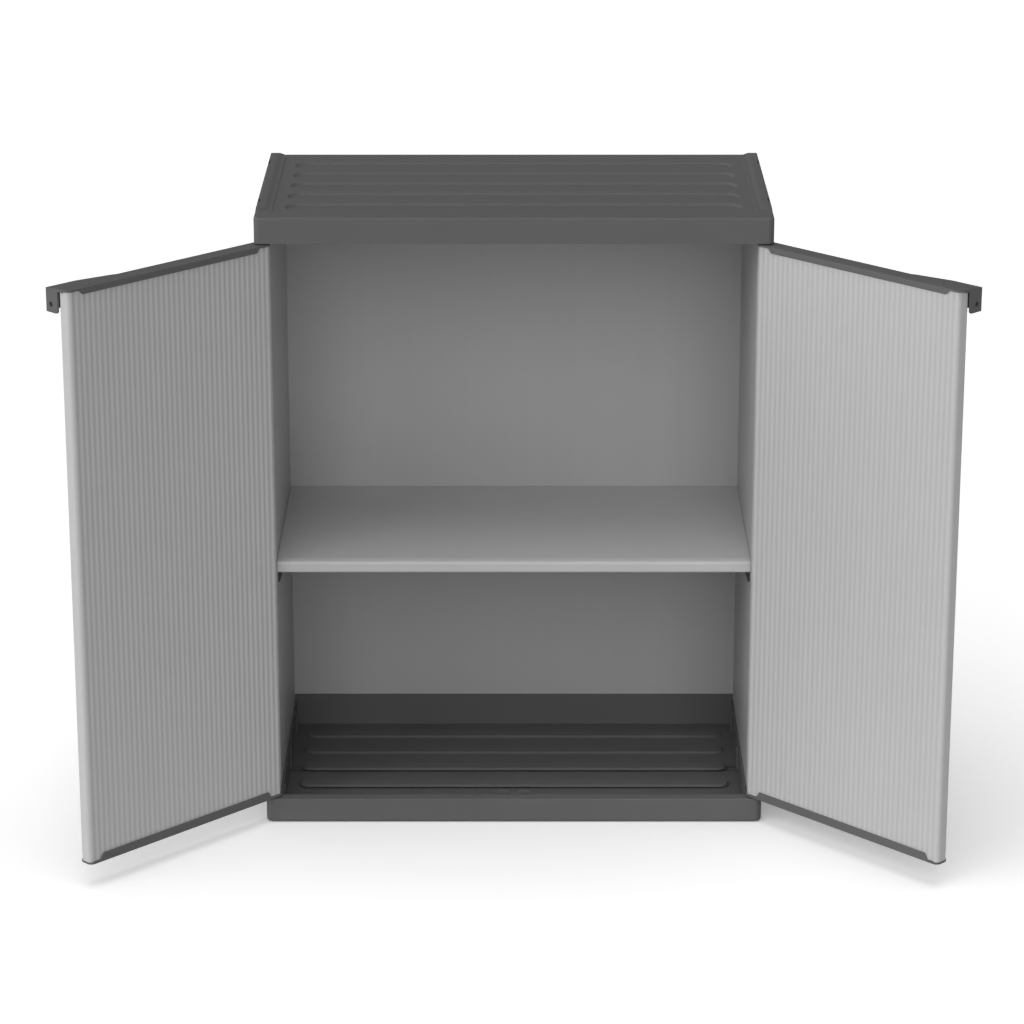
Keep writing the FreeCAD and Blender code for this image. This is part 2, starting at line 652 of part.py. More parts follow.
def side_panel():
    """Left side panel: an extruded hollow board with rows of peg holes."""
    body = new_body("side_panel_left")
    outline = new_sketch(body, "side_outline", lift="Sizes.panel_seat")
    rectangle(outline, f"-{SIDE_OUT}", SIDE_FRONT, f"-{SIDE_IN}", SIDE_BACK)
    pad(body, outline, f"{PANEL_TOP} - Sizes.panel_seat")
    front = value(SIDE_FRONT)
    round_edges(body, "side_front_edges", "Sizes.side_edge",
                lambda edge: upright(edge) and abs(edge.BoundBox.YMin - front) < TOUCH)

    groove = new_sketch(body, "side_back_groove", lift="Sizes.panel_seat")
    bottom = f"-{SIDE_IN} - Sizes.back_groove"
    rectangle(groove, bottom, KERB_BACK, f"-{SIDE_IN}", f"{BACK_OUT} + Sizes.fit_gap")
    pocket(body, groove)

    first = f"({SIDE_FRONT} + Sizes.side_edge)"
    span = f"({KERB_BACK} - Sizes.panel_skin - {first})"
    width = f"(({span} + Sizes.panel_web) / Sizes.side_cells - Sizes.panel_web)"
    cell = new_sketch(body, "side_cell", lift="Sizes.panel_seat")
    outer = f"-{SIDE_OUT} + Sizes.panel_skin"
    inner = f"-{SIDE_IN} - Sizes.panel_skin"
    rectangle(cell, outer, first, inner, f"{first} + {width}")
    cut = pocket(body, cell)
    repeat(body, [cut], "Y_Axis", f"{width} + Sizes.panel_web", "Sizes.side_cells")

    holes = new_sketch(body, "side_peg_holes", "YZ_Plane", f"-{SIDE_IN}")
    for row_step in (-1, 0, 1, 2):
        height = f"{PEG_HEIGHT} + ({row_step}) * Sizes.row_spacing"
        for column in range(int(value("Sizes.peg_columns"))):
            circle(holes, peg_place(column), height, "Sizes.peg_radius + Sizes.peg_play")
    pocket(body, holes, "Sizes.peg_length + Sizes.fit_gap")
    return body


def peg_place(column):
    """Place of one column of peg holes, front to back."""
    step = "(Sizes.cabinet_depth - Sizes.peg_front - Sizes.peg_back) / (Sizes.peg_columns - 1)"
    return f"({FRONT} + Sizes.peg_front + {column} * {step})"


def back_panel():
    """Thin board held in the grooves of the side panels, base and roof."""
    body = new_body("back_panel")
    outline = new_sketch(body, "back_outline", lift="Sizes.panel_seat")
    reach = f"({SIDE_IN} + Sizes.back_groove - Sizes.fit_gap)"
    rectangle(outline, f"-{reach}", BACK_IN, reach, BACK_OUT)
    pad(body, outline, f"{PANEL_TOP} - Sizes.panel_seat")
    return body


# Shelf and its supports

def shelf():
    """Shelf with a sloped front band and a ribbed underside."""
    body = new_body("shelf")
    profile = new_sketch(body, "shelf_profile", "YZ_Plane")
    band_low = "Sizes.shelf_top - Sizes.shelf_slope_fall"
    band_back = f"{SHELF_FRONT} + Sizes.shelf_slope_run"
    polygon(profile, [
        (SHELF_FRONT, SHELF_LOW),
        (SHELF_BACK, SHELF_LOW),
        (SHELF_BACK, "Sizes.shelf_top"),
        (band_back, "Sizes.shelf_top"),
        (SHELF_FRONT, band_low),
    ])
    pad(body, profile, f"2 * {SHELF_HALF}", middle=True)
    front = value(SHELF_FRONT)

    def front_edge(edge):
        box = edge.BoundBox
        return box.XLength > TOUCH and abs(box.YMin - front) < TOUCH and box.YLength < TOUCH

    round_edges(body, "shelf_front_edges", "Sizes.shelf_edge", front_edge)
    bay = new_sketch(body, "shelf_bay", lift=SHELF_LOW)
    first_x = f"(-{SHELF_HALF} + Sizes.shelf_wall)"
    first_y = f"({SHELF_FRONT} + Sizes.shelf_slope_run + Sizes.shelf_wall)"
    span_x = f"(-2 * {first_x} + Sizes.shelf_rib)"
    step_x = f"({span_x} / Sizes.shelf_bays)"
    step_y = f"(({SHELF_BACK} - Sizes.shelf_wall - {first_y} + Sizes.shelf_rib) / Sizes.shelf_rows)"
    right = f"{first_x} + {step_x} - Sizes.shelf_rib"
    back = f"{first_y} + {step_y} - Sizes.shelf_rib"
    rectangle(bay, first_x, first_y, right, back)
    cut = pocket(body, bay, "Sizes.shelf_thickness - Sizes.shelf_skin", reverse=True)
    grid = body.newObject("PartDesign::MultiTransform", "shelf_bays")
    across = body.newObject("PartDesign::LinearPattern", "shelf_bays_across")
    across.Direction = (origin_feature(body, "X_Axis"), [""])
    across.setExpression("Length", f"{step_x} * (Sizes.shelf_bays - 1)")
    across.setExpression("Occurrences", "Sizes.shelf_bays")
    deep = body.newObject("PartDesign::LinearPattern", "shelf_bays_deep")
    deep.Direction = (origin_feature(body, "Y_Axis"), [""])
    deep.setExpression("Length", f"{step_y} * (Sizes.shelf_rows - 1)")
    deep.setExpression("Occurrences", "Sizes.shelf_rows")
    grid.Originals = [cut]
    grid.Transformations = [across, deep]
    grid.Refine = False
    body.Tip = grid
    doc.recompute()
    return body


def shelf_support(column, name):
    """One support: a wedge under the shelf with a peg in the side panel."""
    body = new_body("shelf_support_left_" + name)
    middle = peg_place(column)
    front = f"({middle} - Sizes.support_width / 2)"
    profile = new_sketch(body, "support_profile_" + name, "XZ_Plane", f"-{front}")
    top = f"({SHELF_LOW} - Sizes.contact_gap)"
    wall = f"-{SIDE_IN}"
    polygon(profile, [
        (wall, f"{top} - Sizes.support_height"),
        (f"{wall} + Sizes.support_foot", f"{top} - Sizes.support_height"),
        (f"{wall} + Sizes.support_reach", f"{top} - Sizes.support_lip"),
        (f"{wall} + Sizes.support_reach", top),
        (wall, top),
    ])
    pad(body, profile, "Sizes.support_width", reverse=True)
    peg = new_sketch(body, "support_peg_" + name, "YZ_Plane", wall)
    circle(peg, middle, PEG_HEIGHT, "Sizes.peg_radius")
    pad(body, peg, "Sizes.peg_length", reverse=True)
    return body


# Hinge pins

def hinge_pin(label, shoulder, direction, gap):
    """Steel pin with a collar: it stands in the carcass and the door turns on it."""
    body = new_body(label)
    start = f"({shoulder} - ({direction}) * Sizes.pin_depth)"
    length = f"(2 * Sizes.pin_depth + {gap} - Sizes.pin_relief)"
    shaft = circle(new_sketch(body, label + "_shaft", lift=start), f"-{PIN_X}", PIN_Y,
                   "Sizes.pin_radius")
    pad(body, shaft, length, reverse=direction < 0)
    bevel_edges(body, label + "_ends", "Sizes.pin_chamfer",
                lambda edge: edge.BoundBox.ZLength < TOUCH)
    collar = circle(new_sketch(body, label + "_collar", lift=shoulder), f"-{PIN_X}", PIN_Y,
                    "Sizes.collar_radius")
    pad(body, collar, f"{gap} - Sizes.contact_gap", reverse=direction < 0)
    return body


# Doors, drawn closed about the pin axis: X along the door, inner face at +Y

def place_door_piece(body):
    """Hang a door piece on its pin axis, turned to the open position."""
    axis = FreeCAD.Vector(0, 0, 1)
    body.Placement = FreeCAD.Placement(FreeCAD.Vector(), FreeCAD.Rotation(axis, -90))
    body.setExpression(".Placement.Base.x", f"-{PIN_X}")
    body.setExpression(".Placement.Base.y", PIN_Y)
    body.setExpression(".Placement.Rotation.Angle", "-Sizes.open_angle")


def door_outline(body, name, lift):
    """Outline of the door panel, which the seats in the caps follow."""
    sketch = new_sketch(body, name, lift=lift)
    return rectangle(sketch, "-Sizes.pin_inset", f"-{DOOR_HALF}", DOOR_END, DOOR_HALF)


def door_panel():
    """Left door panel: an extruded hollow board with fine upright flutes."""
    body = new_body("door_panel_left")
    pad(body, door_outline(body, "door_outline", DOOR_PANEL_LOW),
        f"{DOOR_PANEL_HIGH} - {DOOR_PANEL_LOW}")
    round_edges(body, "door_noses", "Sizes.nose_radius", upright)

    first = "(-Sizes.pin_inset + Sizes.nose_skin)"
    span = f"({DOOR_END} - Sizes.nose_skin - {first})"
    width = f"(({span} + Sizes.panel_web) / Sizes.door_cells - Sizes.panel_web)"
    reach = f"({DOOR_HALF} - Sizes.door_skin)"
    cell = new_sketch(body, "door_cell", lift=DOOR_PANEL_LOW)
    rectangle(cell, first, f"-{reach}", f"{first} + {width}", reach)
    cut = pocket(body, cell)
    repeat(body, [cut], "X_Axis", f"{width} + Sizes.panel_web", "Sizes.door_cells")

    half_width = "(Sizes.flute_width / 2)"
    radius = f"(({half_width} ^ 2 + Sizes.flute_depth ^ 2) / (2 * Sizes.flute_depth))"
    fluted = f"({DOOR_END} + Sizes.pin_inset - 2 * Sizes.flute_margin)"
    pitch = f"({fluted} / (Sizes.flute_count + 1))"
    first_flute = f"(-Sizes.pin_inset + Sizes.flute_margin + {pitch})"
    away = f"({DOOR_HALF} - Sizes.flute_depth + {radius})"
    flute = new_sketch(body, "door_flute", lift=DOOR_PANEL_LOW)
    circle(flute, first_flute, away, radius)
    circle(flute, first_flute, f"-{away}", radius)
    cut = pocket(body, flute)
    repeat(body, [cut], "X_Axis", pitch, "Sizes.flute_count")
    place_door_piece(body)
    return body


def cap_skirt(body, name, face, height, low, upward, tip):
    """Skirt of a cap along one face of the door, with sloped ends."""
    start = "Sizes.skirt_start"
    slope_start = f"{start} + Sizes.skirt_slope_pin"
    slope_end = f"{tip} - Sizes.skirt_slope_tip"
    edge = f"({low})"
    inner = f"({edge} + ({upward}) * Sizes.cap_rim)"
    far = f"({edge} + ({upward}) * {height})"
    lift = DOOR_HALF if face < 0 else f"-{DOOR_HALF}"
    sketch = new_sketch(body, name, "XZ_Plane", lift)
    polygon(sketch, [
        (start, edge),
        (tip, edge),
        (tip, inner),
        (slope_end, far),
        (slope_start, far),
        (start, inner),
    ])
    pad(body, sketch, "Sizes.skirt_wall", reverse=face > 0)


def cap_tray(body, name, low, seat, upward):
    """Plate with a rim that follows the ends and faces of the door panel."""
    outline = new_sketch(body, name + "_outline", lift=low)
    rectangle(outline, "-Sizes.pin_inset - Sizes.skirt_wall", f"-{CAP_HALF}", TIP, CAP_HALF)
    pad(body, outline, "Sizes.cap_rim")
    pocket(body, door_outline(body, name + "_seat", seat), "Sizes.cap_rim - Sizes.cap_plate",
           reverse=upward > 0)
    round_edges(body, name + "_seat_noses", "Sizes.nose_radius", upright_at(DOOR_HALF))
    round_edges(body, name + "_corners", "Sizes.cap_corner", upright_at(CAP_HALF))


def cap_boss(body, name, plate_inner, outer_face, upward):
    """Boss inside the door panel and the bore that turns on the pin."""
    boss = new_sketch(body, name + "_boss", lift=plate_inner)
    circle(boss, "0", "0", "Sizes.boss_radius")
    pad(body, boss, "Sizes.pin_depth", reverse=upward < 0)
    bore = new_sketch(body, name + "_bore", lift=outer_face)
    circle(bore, "0", "0", "Sizes.pin_radius + Sizes.pin_play")
    pocket(body, bore, "Sizes.pin_depth", reverse=upward > 0)


def cap_bump(body, name, face, upward):
    """Small round bump that clicks into the hollow in base or roof."""
    bump = new_sketch(body, name, lift=face)
    circle(bump, f"{PIN_X} - Sizes.catch_place", "0", "Sizes.bump_radius")
    pad(body, bump, "Sizes.bump_height", reverse=upward < 0)
    level = f"{face} + ({upward}) * Sizes.bump_height"
    round_edges(body, name + "_dome", "Sizes.bump_round", level_at(level))


def door_low_cap():
    """Lower cap: plate, two skirts, pin boss and catch bump."""
    body = new_body("door_bottom_cap_left")
    cap_tray(body, "low_cap", DOOR_LOW, DOOR_PANEL_LOW, 1)
    tip = f"({TIP} - Sizes.skirt_tip_gap)"
    cap_skirt(body, "low_cap_inner_skirt", 1, "Sizes.skirt_low", DOOR_LOW, 1, tip)
    cap_skirt(body, "low_cap_outer_skirt", -1, "Sizes.skirt_low", DOOR_LOW, 1, tip)
    round_edges(body, "low_cap_edge", "Sizes.cap_edge", level_at(DOOR_LOW))
    cap_boss(body, "low_cap", DOOR_PANEL_LOW, DOOR_LOW, 1)
    cap_bump(body, "low_cap_bump", DOOR_LOW, -1)
    place_door_piece(body)
    return body


def door_high_cap():
    """Upper cap: plate, skirts, finger pull, padlock tab, boss and bump."""
    body = new_body("door_top_cap_left")
    cap_tray(body, "high_cap", f"({DOOR_HIGH} - Sizes.cap_rim)", DOOR_PANEL_HIGH, -1)

    root = f"({TIP} - Sizes.pull_length)"
    elbow = f"({root} + Sizes.pull_run)"
    step = f"({CAP_HALF} + Sizes.pull_step)"
    grip = f"({CAP_HALF} + Sizes.pull_reach)"
    plate = new_sketch(body, "high_cap_pull_plate", lift=DOOR_PANEL_HIGH)
    polygon(plate, [
        (root, f"-{DOOR_HALF} + Sizes.skirt_wall"),
        (root, f"-{CAP_HALF}"),
        (elbow, f"-{step}"),
        (TIP, f"-{grip}"),
        (TIP, f"-{CAP_HALF} + Sizes.cap_corner"),
        (f"{TIP} - Sizes.cap_corner", f"-{CAP_HALF} + Sizes.cap_corner"),
    ])
    pad(body, plate, "Sizes.cap_plate")

    skirt_tip = f"({TIP} - Sizes.skirt_tip_gap)"
    cap_skirt(body, "high_cap_inner_skirt", 1, "Sizes.skirt_high", DOOR_HIGH, -1, skirt_tip)
    outer_tip = f"({root} + Sizes.skirt_slope_tip)"
    cap_skirt(body, "high_cap_outer_skirt", -1, "Sizes.skirt_high", DOOR_HIGH, -1, outer_tip)
    high_cap_pull(body, root, (elbow, step), grip)
    high_cap_tab(body, grip)
    round_edges(body, "high_cap_edge", "Sizes.cap_edge", level_at(DOOR_HIGH))
    cap_boss(body, "high_cap", DOOR_PANEL_HIGH, DOOR_HIGH, -1)
    cap_bump(body, "high_cap_bump", DOOR_HIGH, 1)
    place_door_piece(body)
    return body


def high_cap_pull(body, root, elbow, grip):
    """Skirt of the finger pull, which flares out to the tip and hangs down."""
    wall = "Sizes.skirt_wall"
    along, out = elbow
    skirt = new_sketch(body, "high_cap_pull_skirt", lift=DOOR_PANEL_HIGH)
    polygon(skirt, [
        (root, f"-{CAP_HALF}"),
        (along, f"-{out}"),
        (TIP, f"-{grip}"),
        (TIP, f"-{grip} + {wall}"),
        (f"{along} + {wall} / 2", f"-{out} + {wall}"),
        (f"{root} + {wall} / 2", f"-{CAP_HALF} + {wall}"),
    ])
    pad(body, skirt, "Sizes.pull_drop - Sizes.cap_plate", reverse=True)


def high_cap_tab(body, grip):
    """Upright tab at the door's tip with the hole for a padlock."""
    tab = new_sketch(body, "high_cap_tab", "YZ_Plane", TIP)
    low = f"{DOOR_HIGH} - Sizes.tab_drop"
    rectangle(tab, f"-{grip}", low, "-Sizes.tab_inner", DOOR_HIGH)
    pad(body, tab, "Sizes.tab_thickness", reverse=True)
    level = value(low)
    side = value("-Sizes.tab_inner")

    def lower_inner_corner(edge):
        box = edge.BoundBox
        at_level = abs(box.ZMax - level) < TOUCH
        return at_level and abs(box.YMin - side) < TOUCH and box.YLength < TOUCH

    round_edges(body, "high_cap_tab_corner", "Sizes.tab_corner", lower_inner_corner)
    hole = new_sketch(body, "high_cap_lock_hole", "YZ_Plane", TIP)
    circle(hole, f"-{grip} + Sizes.lock_inset", f"{DOOR_HIGH} - Sizes.lock_drop",
           "Sizes.lock_radius")
    pocket(body, hole, "2 * Sizes.tab_thickness")


def check(parts):
    """Stop if a step of the model failed or a sub-part isn't one sound solid."""
    for item in doc.Objects:
        if "Invalid" in item.State or "Error" in item.State:
            raise RuntimeError(item.Label + " failed")
    for part in parts:
        shape = part.Shape
        if shape.isNull() or not shape.isValid() or len(shape.Solids) != 1:
            raise RuntimeError(part.Label + " isn't one sound solid")


def build():
    """Build every sub-part and give the list."""
    parts = [base_tray(), roof_cover(), back_panel(), shelf()]
    lefts = [side_panel(), door_panel(), door_low_cap(), door_high_cap()]
    lefts.append(hinge_pin("hinge_pin_lower_left", "Sizes.base_height", 1,
                           "Sizes.door_gap_low"))
    lefts.append(hinge_pin("hinge_pin_upper_left", ROOF_LOW, -1, "Sizes.door_gap_high"))
    for column, name in enumerate(("front", "middle", "back")):
        lefts.append(shelf_support(column, name))
    rights = [mirrored_part(left, left.Label.replace("left", "right")) for left in lefts]
    doc.recompute()
    return parts + lefts + rights


def write(parts):
    """Write each sub-part to its own file."""
    os.makedirs("parts", exist_ok=True)
    for part in parts:
        part.Shape.exportStep(os.path.join("parts", part.Label + ".step"))
        print("%-30s %10.1f" % (part.Label, part.Shape.Volume))


pieces = build()
check(pieces)
write(pieces)
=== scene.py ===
import contextlib
import json
import math

import bmesh
import bpy
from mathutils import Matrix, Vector


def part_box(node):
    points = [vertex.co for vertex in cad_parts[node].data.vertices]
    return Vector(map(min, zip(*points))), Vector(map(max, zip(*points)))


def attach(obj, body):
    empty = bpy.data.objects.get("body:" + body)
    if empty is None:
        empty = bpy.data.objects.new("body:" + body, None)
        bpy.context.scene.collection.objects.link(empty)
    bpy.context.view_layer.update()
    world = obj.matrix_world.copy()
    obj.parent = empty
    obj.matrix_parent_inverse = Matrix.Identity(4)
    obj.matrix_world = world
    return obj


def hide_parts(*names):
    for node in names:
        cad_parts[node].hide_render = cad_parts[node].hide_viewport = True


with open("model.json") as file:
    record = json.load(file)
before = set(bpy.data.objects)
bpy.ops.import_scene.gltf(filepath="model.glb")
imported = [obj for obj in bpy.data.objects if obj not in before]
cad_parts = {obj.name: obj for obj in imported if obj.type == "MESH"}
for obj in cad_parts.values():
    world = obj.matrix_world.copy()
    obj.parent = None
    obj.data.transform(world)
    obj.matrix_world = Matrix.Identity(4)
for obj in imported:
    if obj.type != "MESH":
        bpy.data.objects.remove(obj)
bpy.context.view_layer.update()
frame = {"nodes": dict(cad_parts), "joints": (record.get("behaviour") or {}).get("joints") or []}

bl_info = {
    "name": "Garden storage cabinet",
    "version": (1, 0, 0),
    "blender": (4, 5, 0),
    "location": "3D view > Sidebar > Cabinet",
    "description": "Models and finishes a low two-door storage cabinet in moulded resin",
    "category": "Mesh",
}

MM = 0.001
NEAR = 0.02 * MM  # Play in the tests for a place
LAP = 1 * MM  # How far welded forms and cutters reach into each other
AXES = "xyz"
FLAT = math.radians(0.4)  # Faces that meet at less are one flat face
SOFTENED = math.radians(32)  # Edges that bend more are softened
SMOOTH = math.radians(42)  # Edges that bend less are shaded smoothly
DIAGONAL = math.radians(45)  # The open doors against the front
SENSOR = 36  # Width of the camera's sensor in millimetres
DUST = (0.5, 0.49, 0.47)

# Places that the frame gives
TRAY_LOW, TRAY_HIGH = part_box("base_tray")
ROOF_LOW, ROOF_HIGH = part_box("roof_cover")
SIDE_LOW, SIDE_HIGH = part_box("side_panel_left")
BACK_LOW, BACK_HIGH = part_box("back_panel")
SHELF_LOW, SHELF_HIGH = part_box("shelf")
DOOR_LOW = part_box("door_panel_left")[0].z
DOOR_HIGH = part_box("door_panel_left")[1].z
PIN = Vector(next(j["pos_m"] for j in frame["joints"] if j["name"] == "left_door_swing"))
FRONT = TRAY_LOW.y
BACK = TRAY_HIGH.y
HALF = TRAY_HIGH.x


# Sizes and finishes

def length(name, millimetres, description):
    """A length that the panel shows."""
    return bpy.props.FloatProperty(name=name, description=description, default=millimetres * MM,
                                   subtype="DISTANCE", unit="LENGTH", precision=4)


def share(name, part, description):
    """A share of one that the panel shows."""
    return bpy.props.FloatProperty(name=name, description=description, default=part, min=0, max=1,
                                   subtype="FACTOR", precision=3)


def angle(name, radians, description):
    """An angle that the panel shows."""
    return bpy.props.FloatProperty(name=name, description=description, default=radians,
                                   subtype="ANGLE", unit="ROTATION")


def count(name, number, description):
    """A number of like forms that the panel shows."""
    return bpy.props.IntProperty(name=name, description=description, default=number, min=1)


def colour(name, grey, description, warmth=0.0):
    """A colour that the panel shows."""
    return bpy.props.FloatVectorProperty(name=name, description=description, subtype="COLOR", size=3,
                                         min=0, max=1, default=(grey, grey, grey * (1 - warmth)))


class TraySizes(bpy.types.PropertyGroup):
    """Sizes of the base tray"""

    height: length("Sill height", 34.5, "Front sill above the floor")
    corner: length("Corner", 9, "Rounding of the upright corners")
    foot: length("Foot", 5, "Rounding of the lower edge")
    sill_edge: length("Sill edge", 1.5, "Rounding of the sill's upper edge")
    sill_depth: length("Sill depth", 17, "Front sill from front to back")
    floor: length("Floor", 5, "Upper face of the tray floor")
    hollow: length("Hollow under the floor", 2.5, "Room under the floor inside the standing rim")
    rim: length("Standing rim", 14, "Rim and middle foot under the tray")
    wall: length("Wall", 3, "Walls round the hollow of the sill")
    beam_inset: length("Beam inset", 30, "Hollow of sill and lintel in from the cabinet's side")
    beam_start: length("Beam start", 0.5, "Hollow of the sill behind the rounding of its foot")
    sill_rib_width: length("Sill rib", 6, "Small rib across the middle of the sill, side to side")
    sill_rib_front: length("Sill rib front", 3, "Small rib behind the front")
    sill_rib_rise: length("Sill rib rise", 0.8, "Small rib above the sill")
    softening: length("Softening", 0.45, "Softening of sharp edges")
    play: length("Play", 0.3, "Play between a panel and its channel")
    seat: length("Panel seat", 8, "Bottom of the channels for the panels")
    kerb_wall: length("Kerb", 2.4, "Kerb inside the panels")
    side_kerb: length("Side kerb", 42, "Top of the side kerbs")
    back_kerb: length("Back kerb", 51, "Top of the back kerb")
    clip_width: length("Clip post", 9, "Clip post on a side kerb, front to back")
    clip_reach: length("Clip reach", 2.4, "Clip post from the kerb, inwards")
    clip_top: length("Clip top", 38, "Top of a clip post")
    clip_edge: length("Clip edge", 1.2, "Rounding at the top of a clip post")
    clip_spacing: length("Clip spacing", 140, "From one clip post to the next")
    clip_last: length("Last clip post", 26, "Last clip post in front of the back kerb")
    form_length: length("Rib length", 604, "Rib, end to end")
    form_width: length("Rib width", 29, "Rib, front to back")
    form_height: length("Rib height", 3, "Rib above the floor")
    form_run: length("Rib flank", 2.5, "Slanted flank of a rib, seen from above")
    form_round: length("Rib edge", 1.4, "Rounding of a rib's upper edge")
    form_spacing: length("Rib spacing", 61.8, "From one rib to the next")
    form_middle: length("Middle rib", 4.2, "Middle rib behind the cabinet's middle")
    form_count: count("Ribs", 5, "Ribs on the tray floor")


class CatchSizes(bpy.types.PropertyGroup):
    """Sizes of the door stops and catches"""

    stop_inner: length("Stop, inner end", 6.4, "Door stop from the middle")
    stop_width: length("Stop width", 16.4, "Door stop, side to side")
    stop_thickness: length("Stop thickness", 2.5, "Door stop, front to back")
    stop_rise: length("Stop rise", 3, "Door stop beyond the sill or the lintel")
    stop_front: length("Stop front", -160.7, "Front of the door stops from the cabinet's middle")
    stop_edge: length("Stop edge", 1.5, "Rounding of a door stop's free end")
    catch_place: length("Catch", 41, "Catch bump from the middle")
    hollow_radius: length("Catch hollow", 4.6, "Radius of the hollow for a catch bump")
    hollow_depth: length("Catch hollow depth", 0.8, "Depth of the hollow for a catch bump")
    bump_radius: length("Catch bump", 3.5, "Radius of a catch bump")
    bump_height: length("Catch bump height", 0.9, "Catch bump above the cap")
    bump_edge: length("Catch bump edge", 0.8, "Rounding of a catch bump")
    bore: length("Pin bore", 3.05, "Radius of the bores for the hinge pins")
    bore_depth: length("Bore depth", 18, "Depth of the bores for the hinge pins")


class RoofSizes(bpy.types.PropertyGroup):
    """Sizes of the roof cover"""

    skirt: length("Skirt", 35.4, "Front and side skirt")
    corner: length("Corner", 8, "Rounding of the upright corners")
    edge: length("Upper edge", 3.5, "Rounding of the upper edge")
    rail_rise: length("Rail rise", 2.5, "Side rails above the borders")
    rail_width: length("Rail width", 19, "Side rail")
    rail_edge: length("Rail edge", 0.6, "Outer side of a rail in from the roof's side")
    rail_slope: length("Rail slope", 7, "Soft inner side of a rail")
    rail_ramp: length("Rail ramp", 14, "Soft front end of a rail")
    rail_round: length("Rail edge rounding", 3.5, "Rounding of a rail's upper edges")
    rail_root: length("Rail root", 4.5, "How deep a rail is sunk in the roof")
    rail_start: length("Rail start", 0.2, "Where a rail's slopes start below the roof's top")
    border_front: length("Front border", 36, "Front border of the roof panel")
    border_back: length("Back border", 22, "Back border of the roof panel")
    border_side: length("Side border", 22.4, "Side border of the roof panel")
    recess: length("Recess", 1, "Roof panel below its borders")
    form_length: length("Groove length", 604, "Groove, end to end")
    form_width: length("Groove width", 38, "Groove, front to back")
    form_height: length("Groove depth", 3, "Groove below the roof panel")
    form_run: length("Groove flank", 3.2, "Slanted flank of a groove, seen from above")
    form_round: length("Groove foot", 1.4, "Rounding at the foot of a groove's flank")
    form_spacing: length("Groove spacing", 60.3, "From one groove to the next")
    form_middle: length("Middle groove", 0, "Middle groove behind the cabinet's middle")
    form_count: count("Grooves", 5, "Grooves in the roof")
    wall: length("Wall", 2.5, "Roof panel under its grooves")
    grip: length("Panel grip", 24, "How far the panels reach into the roof")
    lintel: length("Lintel", 25, "Closed front beam")
    beam_wall: length("Beam wall", 3, "Walls of the front beam")
    window_length: length("Clip window", 20, "Clip window, front to back")
    window_width: length("Clip window width", 2.2, "Clip window, across")
    window_depth: length("Clip window depth", 6, "Clip window below the top of a rail")
    window_inset: length("Clip window inset", 1.4, "Clip window in from the roof's side")
    window_front: length("Front window", 91, "Front clip window behind the front")
    window_back: length("Back window", 312, "Back clip window behind the front")
    softening: length("Softening", 0.45, "Softening of sharp edges")


class BoardSizes(bpy.types.PropertyGroup):
    """Sizes of side and back panels, shelf and supports"""

    front_edge: length("Front edge", 3, "Rounding of a side panel's front edges")
    back_edge: length("Back panel edge", 1.2, "Rounding of the back panel's upright edges")
    softening: length("Panel softening", 0.4, "Softening of the panels' sharp edges")
    groove: length("Groove", 4, "Groove in a side panel for the back panel")
    hole: length("Peg hole", 2.5, "Radius of a peg hole")
    hole_depth: length("Peg hole depth", 5.3, "Depth of a peg hole")
    hole_front: length("Front holes", 57, "Front column of holes behind the front")
    hole_back: length("Back holes", 62, "Back column of holes in front of the back")
    hole_drop: length("Hole under shelf", 5, "Peg hole under the shelf's lower face")
    row_spacing: length("Row spacing", 153, "From one row of holes to the next")
    rows: count("Rows", 4, "Rows of peg holes")
    columns: count("Columns", 3, "Peg holes in a row")
    slope_run: length("Shelf slope", 9, "Sloped band along the shelf's front edge")
    slope_fall: length("Shelf slope fall", 2.6, "How far the band falls to the front")
    slope_crest: length("Slope crest", 2.5, "Rounding where the band starts")
    shelf_edge: length("Shelf edge", 3, "Rounding of the shelf's front edge")
    shelf_skin: length("Shelf skin", 3, "Upper face of the shelf")
    shelf_rim: length("Shelf rim", 3, "Rim round the ribs under the shelf")
    shelf_rib: length("Shelf rib", 2.4, "Ribs under the shelf")
    bays_across: count("Bays across", 10, "Bays under the shelf, side to side")
    bays_deep: count("Bays deep", 4, "Bays under the shelf, front to back")
    shelf_softening: length("Shelf softening", 0.5, "Softening of the shelf's and supports' edges")
    support_play: length("Support play", 0.3, "Supports below the shelf")
    support_reach: length("Support reach", 8, "Support under the shelf, inwards")
    support_foot: length("Support foot", 2.3, "Support at its lower end, inwards")
    support_height: length("Support height", 20, "Support")
    support_width: length("Support width", 14, "Support, front to back")
    support_lip: length("Support lip", 3, "Square lip at the top of a support")
    peg: length("Peg", 2.4, "Radius of a support's peg")
    peg_length: length("Peg length", 5, "Support's peg in its hole")
    peg_edge: length("Peg edge", 0.6, "Rounding of a peg's end")


